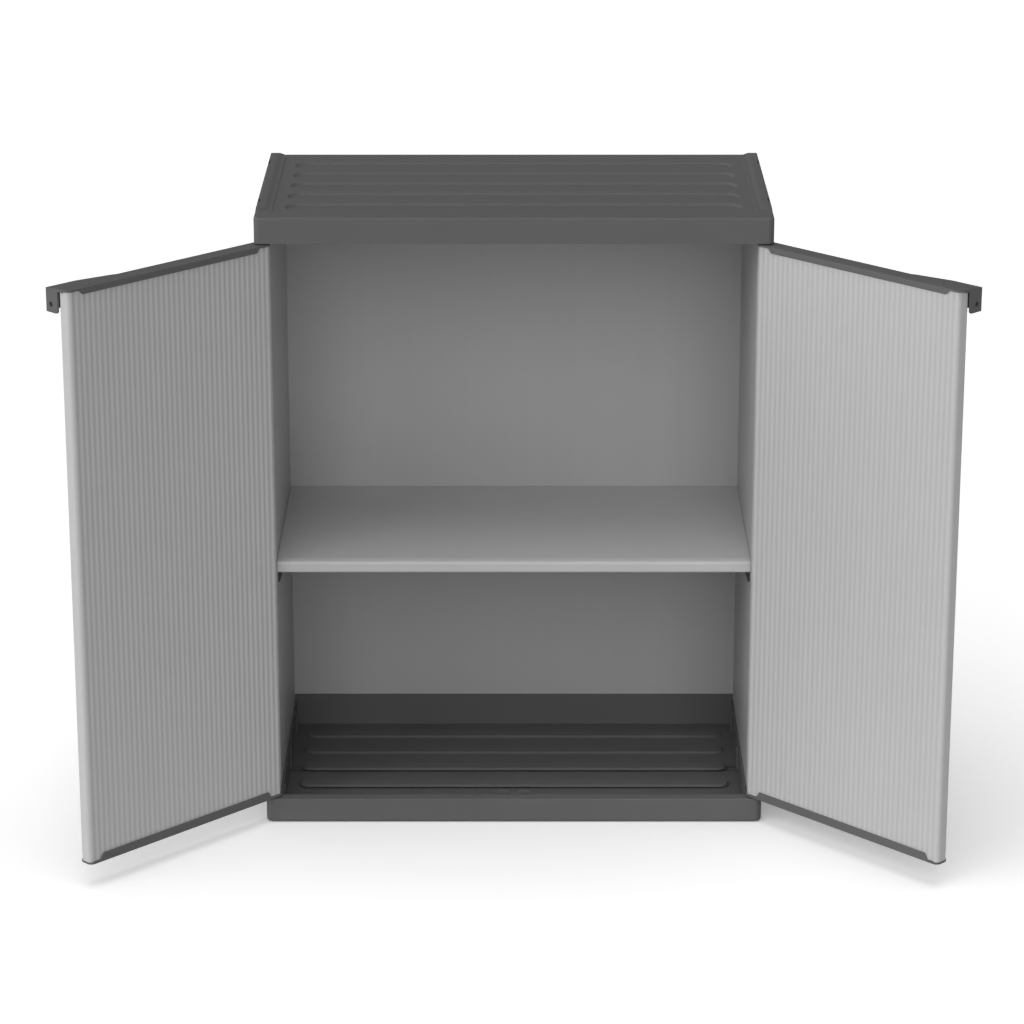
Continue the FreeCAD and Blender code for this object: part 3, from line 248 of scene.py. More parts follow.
class DoorSizes(bpy.types.PropertyGroup):
    """Sizes of the doors, drawn closed about their pin"""

    opening: angle("Opening", math.radians(135), "Doors from closed")
    thickness: length("Thickness", 20, "Door panel")
    inset: length("Pin inset", 8.5, "Pin axis from the door's hinge end")
    end: length("Free end", 328.2, "Free end of the door panel from the pin")
    tip: length("Tip", 331, "Outer face of the padlock tab from the pin")
    nose: length("Nose", 5.7, "Rounding of the door panel's ends")
    flute_depth: length("Flute depth", 0.5, "One flute")
    flute_margin: length("Flute margin", 1.43, "Plain strip beside the outermost crests")
    flute_count: count("Flutes", 38, "Flutes on each face")
    flute_steps: count("Flute steps", 10, "Flat strips that make up one flute")
    plate: length("Cap plate", 2.5, "Plate over the end of the door panel")
    skirt: length("Cap skirt", 2, "Thickness of a cap's skirt")
    rim: length("Cap rim", 2.7, "Rim that runs round a cap")
    tip_low: length("Lower tip", 329.1, "Free end of the lower cap from the pin")
    cap_edge: length("Cap edge", 0.7, "Rounding of a cap's edges")
    cap_corner: length("Cap corner", 8, "Upright corners of a cap")
    skirt_start: length("Skirt start", 12.4, "Skirt's hinge end from the pin")
    skirt_end: length("Skirt end", 311.5, "Skirt's free end from the pin")
    slope_pin: length("Slope at the hinge", 4.5, "Run of the slope at the hinge end")
    slope_tip: length("Slope at the tip", 5, "Run of the slope at the free end")
    skirt_low: length("Lower skirt", 11.5, "Height of the lower cap's skirt")
    skirt_high: length("Upper skirt", 8.5, "Height of the upper cap's skirt")
    boss: length("Boss", 5.5, "Radius of a pin boss inside the door panel")
    boss_play: length("Boss play", 0.1, "Play round a pin boss")
    softening: length("Panel softening", 0.4, "Softening of the door panels' edges")
    cap_softening: length("Cap softening", 0.6, "Softening of the lower caps' edges")
    pull_root: length("Pull root", 233, "Root of the finger pull from the pin")
    pull_run: length("Pull step run", 6, "Short step at the pull's root")
    pull_step: length("Pull step", 2.5, "How far that step comes out of the cap")
    pull_reach: length("Pull reach", 19.2, "Finger pull in front of the cap, at the tip")
    pull_drop: length("Pull skirt", 30.5, "Skirt of the finger pull")
    pull_bend: length("Pull bend", 290, "Where the finger pull begins to bend down")
    pull_fall: length("Pull fall", 2.3, "How far its front corner bends down at the tip")
    pull_sink: length("Pull sink", 0.5, "How far pull and tab sink into what they join")
    tab: length("Tab", 2.5, "Thickness of the padlock tab")
    tab_inner: length("Tab inner edge", 8.6, "Inner edge of the tab from the door's middle")
    web: length("End web", 4.5, "Web beside the tab under the cap's free end")
    tab_drop: length("Tab drop", 33.5, "Height of the padlock tab")
    tab_corner: length("Tab corner", 4, "Rounding of the tab's lower inner corner")
    lock: length("Padlock hole", 3.5, "Radius of the padlock hole")
    lock_inset: length("Padlock hole inset", 9.2, "Padlock hole from the tab's front edge")
    lock_drop: length("Padlock hole drop", 23, "Padlock hole below the top of the cap")


class Finishes(bpy.types.PropertyGroup):
    """Colours and finishes of the resins and the steel"""

    frame_resin: colour("Frame resin", 0.132, "Base, roof and door caps")
    door_resin: colour("Door resin", 0.57, "Door panels")
    board_resin: colour("Board resin", 0.48, "Side panels and back panel")
    shelf_resin: colour("Shelf resin", 0.54, "Shelf")
    support_resin: colour("Support resin", 0.03, "Shelf supports")
    steel: colour("Steel", 0.55, "Plated hinge pins", warmth=-0.02)
    frame_roughness: share("Frame roughness", 0.7, "Roughness of base, roof and door caps")
    board_roughness: share("Board roughness", 0.45, "Roughness of panels and supports")
    shelf_roughness: share("Shelf roughness", 0.38, "Roughness of the shelf")
    frame_gloss: share("Frame gloss", 0.2, "Gloss of base, roof and door caps")
    board_gloss: share("Board gloss", 0.4, "Gloss of panels, shelf and supports")
    grain: length("Grain", 0.9, "Size of the moulded grain")
    grain_depth: length("Grain depth", 0.15, "Height of the moulded grain")
    grain_strength: share("Grain strength", 0.12, "How plain the moulded grain is")
    unevenness: share("Unevenness", 0.05, "How far the tone of a resin wanders")
    polish: length("Edge polish", 1.2, "Width of the smoother strip along edges")
    # Painted highlight: how much lighter the edges are painted, and how light that highlight is
    edge_highlight: share("Painted edge highlight", 0.35, "How much lighter the edges are painted")
    edge_highlight_tone: share("Edge highlight tone", 0.25, "How much lighter the painted highlight makes an edge")
    dust: share("Dust", 0.03, "How much dust lies on what faces up")
    # Painted shade: how much the valleys between the flutes are darkened, and the tone they darken to
    valley: share("Flute shade", 0.24, "How shaded the valleys between the flutes are")
    valley_tone: share("Flute tone", 0.5, "Tone of a fully shaded valley")


# Soft lamps: degrees to the left of the front, degrees above level, strength
LAMPS = {
    "left": (80, 5, 1.55),
    "right": (-80, 5, 0.06),
    "front": (0, 25, 0.89),
    "top": (0, 75, 0.76),
    "front_left_high": (45, 50, 0.36),
    "front_left_low": (45, 25, 0.29),
}


class Studio(bpy.types.PropertyGroup):
    """Camera, lamps and floor"""

    distance: length("Distance", 4874.3, "Camera in front of the cabinet's middle")
    height: length("Height", 2010.2, "Camera above the floor")
    tilt: angle("Tilt", 0.3213, "Camera's look below level")
    lens: bpy.props.FloatProperty(name="Lens", description="Focal length in millimetres", default=129.96)
    shift: bpy.props.FloatVectorProperty(name="Shift", description="Share of the picture's width", size=2,
                                         default=(-0.00188, 0.0001), precision=5)
    light: bpy.props.FloatProperty(name="Light", description="Strength of all lamps together", default=1.0)
    spread: angle("Spread", math.radians(36), "Apparent size of a lamp")
    floor_size: length("Floor size", 60000, "Length and width of the floor")
    floor_drop: length("Floor drop", 0.2, "Floor below the cabinet's feet")
    floor: share("Floor", 0.93, "Brightness of the floor paint")
    white: share("White", 0.56, "What the eye adds to the floor to see it white")
    # Painted shadow: how far the darkening of the floor's added white reaches round the cabinet
    shade_reach: length("Shade reach", 700, "How far the cabinet takes white from the floor around it")
    mirror: share("Mirrored white", 0.5, "How white gloss, metal and glass see the surroundings")


# Modelling

def clear_selection():
    """Leave edit mode and select nothing."""
    if bpy.context.mode != "OBJECT":
        bpy.ops.object.mode_set(mode="OBJECT")
    bpy.ops.object.select_all(action="DESELECT")


def choose(*pieces):
    """Select pieces, the last of them active."""
    clear_selection()
    for piece in pieces:
        piece.select_set(True)
    bpy.context.view_layer.objects.active = pieces[-1]


def take(name):
    """Name the new primitive and put its place into its mesh."""
    piece = bpy.context.object
    piece.name = name
    piece.data.name = name
    bpy.ops.object.transform_apply(location=True, rotation=True, scale=True)
    return piece


def block(name, low, high):
    """Start a piece as a block between two corners."""
    clear_selection()
    low = Vector(low)
    high = Vector(high)
    bpy.ops.mesh.primitive_cube_add(size=1, location=(low + high) / 2)
    bpy.context.object.scale = high - low
    return take(name)


def rod(name, start, end, radius, sides=48):
    """Start a piece as a round rod between two points."""
    clear_selection()
    start = Vector(start)
    way = Vector(end) - start
    turn = way.to_track_quat("Z", "Y").to_euler()
    bpy.ops.mesh.primitive_cylinder_add(vertices=sides, radius=radius, depth=way.length,
                                        location=start + way / 2, rotation=turn)
    return take(name)


@contextlib.contextmanager
def editing(piece):
    """Shape one piece in edit mode."""
    choose(piece)
    bpy.ops.object.mode_set(mode="EDIT")
    bpy.ops.mesh.select_all(action="DESELECT")
    yield piece
    bpy.ops.object.mode_set(mode="OBJECT")


def zone(x=None, y=None, z=None, run=None):
    """Make a test for what lies in a zone of space; one number stands for a plane."""
    limits = []
    for axis, span in enumerate((x, y, z)):
        if span is None:
            continue
        low, high = span if isinstance(span, tuple) else (span, span)
        limits.append((axis, min(low, high) - NEAR, max(low, high) + NEAR))

    def test(element):
        corners = element.verts if hasattr(element, "verts") else (element,)
        if run is not None:
            step = corners[1].co - corners[0].co
            others = [abs(step[axis]) for axis in range(3) if AXES[axis] != run]
            if max(others) > NEAR:
                return False
        return all(low <= corner.co[axis] <= high for corner in corners for axis, low, high in limits)

    return test


def any_of(*tests):
    """Make a test that passes where one of several does."""
    return lambda element: any(test(element) for test in tests)


def pick(piece, kind, test):
    """Select the corners, edges or faces that pass a test."""
    bpy.ops.mesh.select_mode(type=kind)
    bpy.ops.mesh.select_all(action="DESELECT")
    mesh = bmesh.from_edit_mesh(piece.data)
    parts = {"VERT": mesh.verts, "EDGE": mesh.edges, "FACE": mesh.faces}[kind]
    found = [part for part in parts if test(part)]
    if not found:
        raise RuntimeError(piece.name + " has no such " + kind.lower())
    for part in found:
        part.select_set(True)
    bmesh.update_edit_mesh(piece.data)


def score(piece, test, x=(), y=(), z=()):
    """Score the faces that a test picks along planes across the axes."""
    for axis, places in enumerate((x, y, z)):
        normal = Vector([1 if axis == each else 0 for each in range(3)])
        for place in places:
            pick(piece, "FACE", test)
            bpy.ops.mesh.bisect(plane_co=normal * place, plane_no=normal, threshold=NEAR / 10)


def push(piece, test, x=0, y=0, z=0):
    """Draw the faces that a test picks out or in."""
    pick(piece, "FACE", test)
    bpy.ops.mesh.extrude_region_move(TRANSFORM_OT_translate={"value": (x, y, z)})


def shift(piece, test, x=0, y=0, z=0):
    """Move the corners that a test picks."""
    pick(piece, "VERT", test)
    bpy.ops.transform.translate(value=(x, y, z))


def round_edges(piece, test, size, segments=4):
    """Round the edges that a test picks."""
    pick(piece, "EDGE", test)
    bpy.ops.mesh.bevel(offset=size, offset_type="OFFSET", segments=segments, affect="EDGES",
                       clamp_overlap=False)


def rounded_block(name, low, high, corner, segments=8):
    """Start a piece as a block with rounded upright corners."""
    piece = block(name, low, high)
    with editing(piece):
        round_edges(piece, zone(run="z"), corner, segments)
    return piece


def join(name, pieces):
    """Make one piece of several."""
    choose(*pieces)
    bpy.ops.object.join()
    piece = bpy.context.object
    piece.name = name
    piece.data.name = name
    return piece


def use_modifier(piece, kind, **settings):
    """Finish a piece with one modifier and apply it."""
    choose(piece)
    bpy.ops.object.modifier_add(type=kind)
    modifier = piece.modifiers[-1]
    for name, setting in settings.items():
        setattr(modifier, name, setting)
    bpy.ops.object.modifier_apply(modifier=modifier.name)


def unite(piece, *others):
    """Weld other pieces to a piece."""
    for other in others:
        use_modifier(piece, "BOOLEAN", operation="UNION", solver="EXACT", object=other)
        bpy.data.objects.remove(other)


def cut(piece, *cutters):
    """Cut other pieces out of a piece."""
    for cutter in cutters:
        use_modifier(piece, "BOOLEAN", operation="DIFFERENCE", solver="EXACT", object=cutter)
        bpy.data.objects.remove(cutter)


def copied(piece, name, y=0, z=0):
    """Copy a piece with its own mesh, and move the copy."""
    choose(piece)
    bpy.ops.object.duplicate(linked=False)
    copy = bpy.context.object
    copy.name = name
    copy.data.name = name
    copy.location = (0, y, z)
    bpy.ops.object.transform_apply(location=True, rotation=True, scale=True)
    return copy


def mirrored(piece, name):
    """Copy a piece to the other side of the cabinet, and shade a finished one anew."""
    copy = copied(piece, name)
    copy.scale = (-1, 1, 1)
    bpy.ops.object.transform_apply(location=False, rotation=False, scale=True)
    with editing(copy):
        bpy.ops.mesh.select_all(action="SELECT")
        bpy.ops.mesh.normals_make_consistent(inside=False)
    if copy.data.has_custom_normals:
        choose(copy)
        bpy.ops.mesh.customdata_custom_splitnormals_clear()
        shade_smoothly(copy)
    return copy


def shade_smoothly(piece):
    """Shade the roundings smoothly and keep the large faces flat."""
    choose(piece)
    bpy.ops.object.shade_smooth_by_angle(angle=SMOOTH)
    use_modifier(piece, "WEIGHTED_NORMAL", keep_sharp=True, weight=80)


def clean(piece):
    """Merge what coincides, and leave flat faces whole."""
    with editing(piece):
        bpy.ops.mesh.select_all(action="SELECT")
        bpy.ops.mesh.remove_doubles(threshold=NEAR)
        bpy.ops.mesh.dissolve_degenerate(threshold=NEAR)
        bpy.ops.mesh.select_all(action="SELECT")
        bpy.ops.mesh.dissolve_limited(angle_limit=FLAT)
        bpy.ops.mesh.select_all(action="SELECT")
        bpy.ops.mesh.normals_make_consistent(inside=False)


def soften(piece, edge, segments=2):
    """Soften the sharp edges of a finished shape and shade it smoothly."""
    clean(piece)
    if edge:
        use_modifier(piece, "BEVEL", width=edge, segments=segments, limit_method="ANGLE",
                     angle_limit=SOFTENED, use_clamp_overlap=False, miter_outer="MITER_ARC")
    with editing(piece):
        bpy.ops.mesh.select_all(action="SELECT")
        bpy.ops.mesh.remove_doubles(threshold=NEAR)
    shade_smoothly(piece)


def settle(piece, node, body, material):
    """Let a finished piece stand for its node, ride on its body and take its finish."""
    piece.data.materials.clear()
    piece.data.materials.append(bpy.data.materials[material])
    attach(piece, body)
    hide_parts(node)


def long_form(sizes, name, y, level, way):
    """A long form with round ends: a rib that rises from a level, or a cutter that sinks from it."""
    clear_selection()
    bpy.ops.mesh.primitive_cylinder_add(vertices=64, radius=sizes.form_width / 2, depth=2 * LAP,
                                        location=(0, y, level - way * LAP))
    form = take(name)
    reach = (sizes.form_length - sizes.form_width) / 2
    far = level + way * sizes.form_height
    with editing(form):
        shift(form, zone(x=(NEAR * 2, HALF)), x=reach)
        shift(form, zone(x=(-HALF, -NEAR * 2)), x=-reach)
        pick(form, "FACE", zone(z=level))
        bpy.ops.mesh.inset(thickness=sizes.form_run, depth=sizes.form_height)
        round_edges(form, zone(z=far), sizes.form_round, 4)
    return form


def long_forms(sizes, name, level, way):
    """The row of ribs or groove cutters."""
    first = sizes.form_middle - sizes.form_spacing * (sizes.form_count - 1) / 2
    form = long_form(sizes, name, first, level, way)
    copies = [copied(form, name, y=sizes.form_spacing * step) for step in range(1, sizes.form_count)]
    return join(name, [form] + copies)


def lens_cutter(catches, name, x, level, way):
    """Cutter for a shallow round hollow."""
    clear_selection()
    depth = catches.hollow_depth
    radius = (catches.hollow_radius ** 2 + depth ** 2) / (2 * depth)
    bpy.ops.mesh.primitive_uv_sphere_add(segments=48, ring_count=72, radius=radius,
                                         location=(x, PIN.y, level + way * (radius - depth)))
    return take(name)


def catch_details(catches, level, way, root):
    """Door stops, catch hollows and pin bores on the sill or under the lintel."""
    inner = catches.stop_inner
    outer = inner + catches.stop_width
    front = catches.stop_front
    end = level + way * catches.stop_rise
    stop = block("stop", (inner, front, min(end, root)),
                 (outer, front + catches.stop_thickness, max(end, root)))
    with editing(stop):
        round_edges(stop, zone(z=end, run="y"), catches.stop_edge, 3)
    stops = [stop, mirrored(stop, "stop_other")]
    hollows = [lens_cutter(catches, "hollow", side * catches.catch_place, level, way) for side in (-1, 1)]
    bottom = level - way * catches.bore_depth
    bores = [rod("bore", (side * PIN.x, PIN.y, level + way * LAP), (side * PIN.x, PIN.y, bottom),
                 catches.bore) for side in (-1, 1)]
    return stops, hollows + bores


class CABINET_OT_tray(bpy.types.Operator):
    """Model the base tray: sill, ribbed floor, channels, kerbs, clip posts and door stops"""

    bl_idname = "cabinet.tray"
    bl_label = "Base tray"

    def execute(self, context):
        s = context.scene.cabinet_tray
        catches = context.scene.cabinet_catches
        top = s.height
        tray = rounded_block("tray", (-HALF, FRONT, 0), (HALF, BACK, top), s.corner)
        with editing(tray):
            round_edges(tray, zone(z=0), s.foot, 5)
            round_edges(tray, zone(z=top), s.sill_edge, 3)
            self.sink_channels(tray, s, top)
            self.hollow_underside(tray, s, top)
        stops, cutters = catch_details(catches, top, 1, s.floor - LAP)
        rib = block("sill_rib", (-s.sill_rib_width / 2, FRONT + s.sill_rib_front, top - LAP),
                    (s.sill_rib_width / 2, FRONT + s.sill_depth - s.sill_edge, top + s.sill_rib_rise))
        unite(tray, join("small", self.clip_posts(s) + stops + [rib]))
        unite(tray, long_forms(s, "ribs", s.floor, 1))
        cut(tray, *cutters)
        soften(tray, s.softening)
        settle(tray, "base_tray", "carcass", "moulded_frame")
        return {"FINISHED"}

    def sink_channels(self, tray, s, top):
        """Sink the well and the panels' channels, and raise the kerbs between them."""
        kerb_out = -SIDE_HIGH.x - s.play
        kerb_in = kerb_out - s.kerb_wall
        channel_out = -SIDE_LOW.x + s.play
        channel_front = SIDE_LOW.y - s.play
        channel_back = SIDE_HIGH.y + s.play
        rear_front = BACK_LOW.y - s.play
        rear_back = BACK_HIGH.y + s.play
        well_back = rear_front - s.kerb_wall
        sill_back = FRONT + s.sill_depth
        score(tray, zone(z=top), x=(-channel_out, -kerb_out, -kerb_in, kerb_in, kerb_out, channel_out),
              y=(sill_back, channel_front, well_back, rear_front, rear_back, channel_back))
        push(tray, zone(z=top, x=(-kerb_in, kerb_in), y=(sill_back, well_back)), z=s.floor - top)
        seats = any_of(
            zone(z=top, x=(kerb_out, channel_out), y=(channel_front, channel_back)),
            zone(z=top, x=(-channel_out, -kerb_out), y=(channel_front, channel_back)),
            zone(z=top, x=(-kerb_out, kerb_out), y=(rear_front, rear_back)))
        push(tray, seats, z=s.seat - top)
        rear = zone(z=top, x=(-kerb_out, kerb_out), y=(well_back, rear_front))
        kerbs = any_of(
            zone(z=top, x=(kerb_in, kerb_out), y=(channel_front, rear_front)),
            zone(z=top, x=(-kerb_out, -kerb_in), y=(channel_front, rear_front)), rear)
        push(tray, kerbs, z=s.side_kerb - top)
        push(tray, zone(z=s.side_kerb, y=(well_back, rear_front)), z=s.back_kerb - s.side_kerb)

    def hollow_underside(self, tray, s, top):
        """Hollow the floor and the sill from below, between a rim and a middle foot."""
        side = HALF - s.rim
        beam = HALF - s.beam_inset
        beam_front = FRONT + s.foot + s.beam_start
        beam_back = FRONT + s.sill_depth - s.wall
        front = FRONT + s.sill_depth + s.wall
        foot = s.rim / 2
        back = BACK - s.rim
        score(tray, zone(z=0), x=(-side, -beam, beam, side),
              y=(beam_front, beam_back, front, -foot, foot, back))
        fields = any_of(zone(z=0, x=(-side, side), y=(front, -foot)),
                        zone(z=0, x=(-side, side), y=(foot, back)))
        push(tray, fields, z=s.hollow)
        push(tray, zone(z=0, x=(-beam, beam), y=(beam_front, beam_back)), z=top - s.wall)

    def clip_posts(self, s):
        """Clip posts on the side kerbs."""
        kerb_in = -SIDE_HIGH.x - s.play - s.kerb_wall
        last = BACK_LOW.y - s.play - s.kerb_wall - s.clip_last
        post = block("post", (-kerb_in - LAP, last - s.clip_width, s.floor - LAP),
                     (-kerb_in + s.clip_reach, last, s.clip_top))
        with editing(post):
            round_edges(post, zone(x=-kerb_in + s.clip_reach, z=s.clip_top), s.clip_edge, 3)
        posts = [post]
        for step in (1, 2):
            posts.append(copied(post, "post", y=-step * s.clip_spacing))
        posts += [mirrored(each, "post") for each in list(posts)]
        return posts


class CABINET_OT_roof(bpy.types.Operator):
    """Model the roof cover: skirt, rails, grooves, lintel, panel seats and clip windows"""

    bl_idname = "cabinet.roof"
    bl_label = "Roof cover"

    def execute(self, context):
        s = context.scene.cabinet_roof
        tray = context.scene.cabinet_tray
        catches = context.scene.cabinet_catches
        top = ROOF_HIGH.z - s.rail_rise
        low = top - s.skirt
        panel = top - s.recess
        ceiling = panel - s.form_height - s.wall
        roof = rounded_block("roof", (-HALF, FRONT, low), (HALF, BACK, top), s.corner)
        with editing(roof):
            round_edges(roof, zone(z=top), s.edge, 6)
            side = HALF - s.border_side
            front = FRONT + s.border_front
            back = BACK - s.border_back
            score(roof, zone(z=top), x=(-side, side), y=(front, back))
            push(roof, zone(z=top, x=(-side, side), y=(front, back)), z=-s.recess)
            self.hollow(roof, s, tray, low, ceiling)
        rail = self.rail(s, top)
        unite(roof, rail, mirrored(rail, "rail_other"))
        stops, cutters = catch_details(catches, low, -1, low + s.beam_wall + LAP)
        unite(roof, *stops)
        cut(roof, long_forms(s, "grooves", panel, -1), *cutters)
        cut(roof, join("windows", self.windows(s)))
        soften(roof, s.softening)
        settle(roof, "roof_cover", "carcass", "moulded_frame")
        return {"FINISHED"}

    def hollow(self, roof, s, tray, low, ceiling):
        """Sink the space under the roof, the panels' channels and the hollow of the lintel."""
        kerb_out = -SIDE_HIGH.x - tray.play
        kerb_in = kerb_out - tray.kerb_wall
        channel_out = -SIDE_LOW.x + tray.play
        channel_front = SIDE_LOW.y - tray.play
        channel_back = SIDE_HIGH.y + tray.play
        rear_front = BACK_LOW.y - tray.play
        rear_back = BACK_HIGH.y + tray.play
        well_back = rear_front - tray.kerb_wall
        lintel_back = FRONT + s.lintel
        score(roof, zone(z=low), x=(-channel_out, -kerb_out, -kerb_in, kerb_in, kerb_out, channel_out),
              y=(lintel_back, channel_front, well_back, rear_front, rear_back, channel_back))
        push(roof, zone(z=low, x=(-kerb_in, kerb_in), y=(lintel_back, well_back)), z=ceiling - low)
        seats = any_of(
            zone(z=low, x=(kerb_out, channel_out), y=(channel_front, channel_back)),
            zone(z=low, x=(-channel_out, -kerb_out), y=(channel_front, channel_back)),
            zone(z=low, x=(-kerb_out, kerb_out), y=(rear_front, rear_back)))
        push(roof, seats, z=s.grip)
        beam = HALF - tray.beam_inset
        wall = zone(y=lintel_back, z=(low, ceiling))
        score(roof, wall, x=(-beam, beam), z=(low + s.beam_wall,))
        inside = zone(y=lintel_back, x=(-beam, beam), z=(low + s.beam_wall, ceiling))
        push(roof, inside, y=s.beam_wall - s.lintel)

    def rail(self, s, top):
        """One side rail with a soft inner side and a soft front end."""
        outer = -HALF + s.rail_edge
        inner = outer + s.rail_width
        front = FRONT + s.border_front
        back = BACK - s.rail_edge
        start = top - s.rail_start
        rail = block("rail", (outer, front, top - s.rail_root), (inner, back, start))
        high = top + s.rail_rise
        with editing(rail):
            push(rail, zone(z=start), z=high - start)
            shift(rail, zone(x=inner, z=high), x=-s.rail_slope)
            shift(rail, zone(y=front, z=high), y=s.rail_ramp)
            round_edges(rail, zone(z=high), s.rail_round, 6)
        return rail

    def windows(self, s):
        """Cutters for the clip windows in the rails."""
        outer = -HALF + s.window_inset
        cutters = []
        for middle in (s.window_front, s.window_back):
            front = FRONT + middle - s.window_length / 2
            cutters.append(block("window", (outer, front, ROOF_HIGH.z - s.window_depth),
                                 (outer + s.window_width, front + s.window_length, ROOF_HIGH.z + LAP)))
        return cutters + [mirrored(each, "window") for each in cutters]


def peg_places(s):
    """First hole and spacing of a row from front to back, and the height of the shelf's own row."""
    first = FRONT + s.hole_front
    return first, (BACK - s.hole_back - first) / (s.columns - 1), SHELF_LOW.z - s.hole_drop


class CABINET_OT_boards(bpy.types.Operator):
    """Model the side panels with their peg holes, and the back panel"""

    bl_idname = "cabinet.boards"
    bl_label = "Side and back panels"

    def execute(self, context):
        s = context.scene.cabinet_boards
        play = context.scene.cabinet_tray.play
        inner = SIDE_HIGH.x
        side = block("side_board_left", SIDE_LOW, SIDE_HIGH)
        with editing(side):
            round_edges(side, zone(y=SIDE_LOW.y, run="z"), s.front_edge, 5)
            score(side, zone(x=inner), y=(BACK_LOW.y - play, BACK_HIGH.y + play))
            push(side, zone(x=inner, y=(BACK_LOW.y - play, BACK_HIGH.y + play)), x=-s.groove)
        cut(side, join("holes", self.holes(s, inner)))
        soften(side, s.softening)
        other = mirrored(side, "side_board_right")
        settle(side, "side_panel_left", "carcass", "drawn_board")
        settle(other, "side_panel_right", "carcass", "drawn_board")
        back = block("back_board", BACK_LOW, BACK_HIGH)
        with editing(back):
            round_edges(back, zone(run="z"), s.back_edge, 3)
        soften(back, s.softening)
        settle(back, "back_panel", "carcass", "drawn_board")
        return {"FINISHED"}

    def holes(self, s, inner):
        """Cutters for the rows of peg holes, the lowest of them a row below the shelf's own."""
        first, step, height = peg_places(s)
        drill = rod("hole", (inner + LAP, first, height - s.row_spacing),
                    (inner - s.hole_depth, first, height - s.row_spacing), s.hole, 24)
        holes = [drill]
        for row in range(s.rows):
            for column in range(s.columns):
                if row or column:
                    holes.append(copied(drill, "hole", y=step * column, z=s.row_spacing * row))
        return holes


class CABINET_OT_shelf(bpy.types.Operator):
    """Model the shelf with its sloped front band and ribbed underside, and its supports"""

    bl_idname = "cabinet.shelf"
    bl_label = "Shelf and supports"

    def execute(self, context):
        s = context.scene.cabinet_boards
        shelf = block("shelf_board", SHELF_LOW, SHELF_HIGH)
        band = SHELF_LOW.y + s.slope_run
        with editing(shelf):
            score(shelf, zone(z=SHELF_HIGH.z), y=(band,))
            shift(shelf, zone(y=SHELF_LOW.y, z=SHELF_HIGH.z), z=-s.slope_fall)
            round_edges(shelf, zone(y=SHELF_LOW.y, run="x"), s.shelf_edge, 6)
            round_edges(shelf, zone(y=band, z=SHELF_HIGH.z, run="x"), s.slope_crest, 3)
            self.hollow(shelf, s, band)
        soften(shelf, s.shelf_softening)
        settle(shelf, "shelf", "shelf", "moulded_shelf")
        self.supports(s)
        return {"FINISHED"}

    def hollow(self, shelf, s, band):
        """Sink the bays between the ribs under the shelf."""
        edge = s.shelf_rim - s.shelf_rib / 2
        left = SHELF_LOW.x + edge
        front = band + edge
        across = (SHELF_HIGH.x - edge - left) / s.bays_across
        deep = (SHELF_HIGH.y - edge - front) / s.bays_deep
        low = SHELF_LOW.z
        score(shelf, zone(z=low), x=[left + across * step for step in range(s.bays_across + 1)],
              y=[front + deep * step for step in range(s.bays_deep + 1)])
        pick(shelf, "FACE", zone(z=low, x=(left, SHELF_HIGH.x - edge), y=(front, SHELF_HIGH.y - edge)))
        bpy.ops.mesh.inset(thickness=s.shelf_rib / 2, depth=0, use_individual=True)
        rise = SHELF_HIGH.z - SHELF_LOW.z - s.shelf_skin
        bpy.ops.mesh.extrude_region_move(TRANSFORM_OT_translate={"value": (0, 0, rise)})

    def supports(self, s):
        """Wedges with a peg, modelled once and copied to their holes."""
        wall = SIDE_HIGH.x
        top = SHELF_LOW.z - s.support_play
        foot = top - s.support_height
        first, step, height = peg_places(s)
        wedge = block("support_left_front", (wall, first - s.support_width / 2, foot),
                      (wall + s.support_reach, first + s.support_width / 2, top))
        inner = wall + s.support_reach
        with editing(wedge):
            score(wedge, zone(), z=(top - s.support_lip,))
            shift(wedge, zone(x=inner, z=foot), x=s.support_foot - s.support_reach)
        peg = rod("peg", (wall + LAP, first, height), (wall - s.peg_length, first, height), s.peg, 32)
        with editing(peg):
            round_edges(peg, zone(x=wall - s.peg_length), s.peg_edge, 2)
        unite(wedge, peg)
        soften(wedge, s.shelf_softening)
        lefts = [wedge]
        for column, place in enumerate(("middle", "back"), start=1):
            lefts.append(copied(wedge, "support_left_" + place, y=step * column))
        for left in lefts:
            name = left.name.replace("left", "right")
            right = mirrored(left, name)
            settle(right, "shelf_" + name, "carcass", "moulded_support")
            settle(left, "shelf_" + left.name, "carcass", "moulded_support")


def flute_places(s):
    """First crest, spacing and last crest of a door's flutes, from the pin."""
    pitch = (s.end + s.inset - 2 * s.flute_margin) / (s.flute_count + 1)
    first = -s.inset + s.flute_margin + pitch / 2
    return first, pitch, first + pitch * s.flute_count


def hang_pair(piece, opening, node, slot, *materials):
    """Hang a door piece on the left pin, opened from closed, and its mirror image on the right."""
    piece.rotation_euler = (0, 0, -opening)
    piece.location = (PIN.x, PIN.y, 0)
    choose(piece)
    bpy.ops.object.transform_apply(location=True, rotation=True, scale=True)
    right = mirrored(piece, piece.name.replace("left", "right"))
    settle(right, node + "_right", "right_door", materials[-1])
    settle(piece, node + "_left", "left_door", materials[0])


def cap_tray(name, s, outer, way, end):
    """Plate with a rim round the door panel; way tells whether the rim stands up or hangs down."""
    half = s.thickness / 2 + s.skirt
    inner = outer + way * s.rim
    cap = rounded_block(name, (-s.inset - s.skirt, -half, min(outer, inner)),
                        (end, half, max(outer, inner)), s.cap_corner, 10)
    with editing(cap):
        pick(cap, "FACE", zone(z=inner))
        bpy.ops.mesh.inset(thickness=s.skirt, depth=0)
        sink = way * (s.plate - s.rim)
        bpy.ops.mesh.extrude_region_move(TRANSFORM_OT_translate={"value": (0, 0, sink)})
    return cap


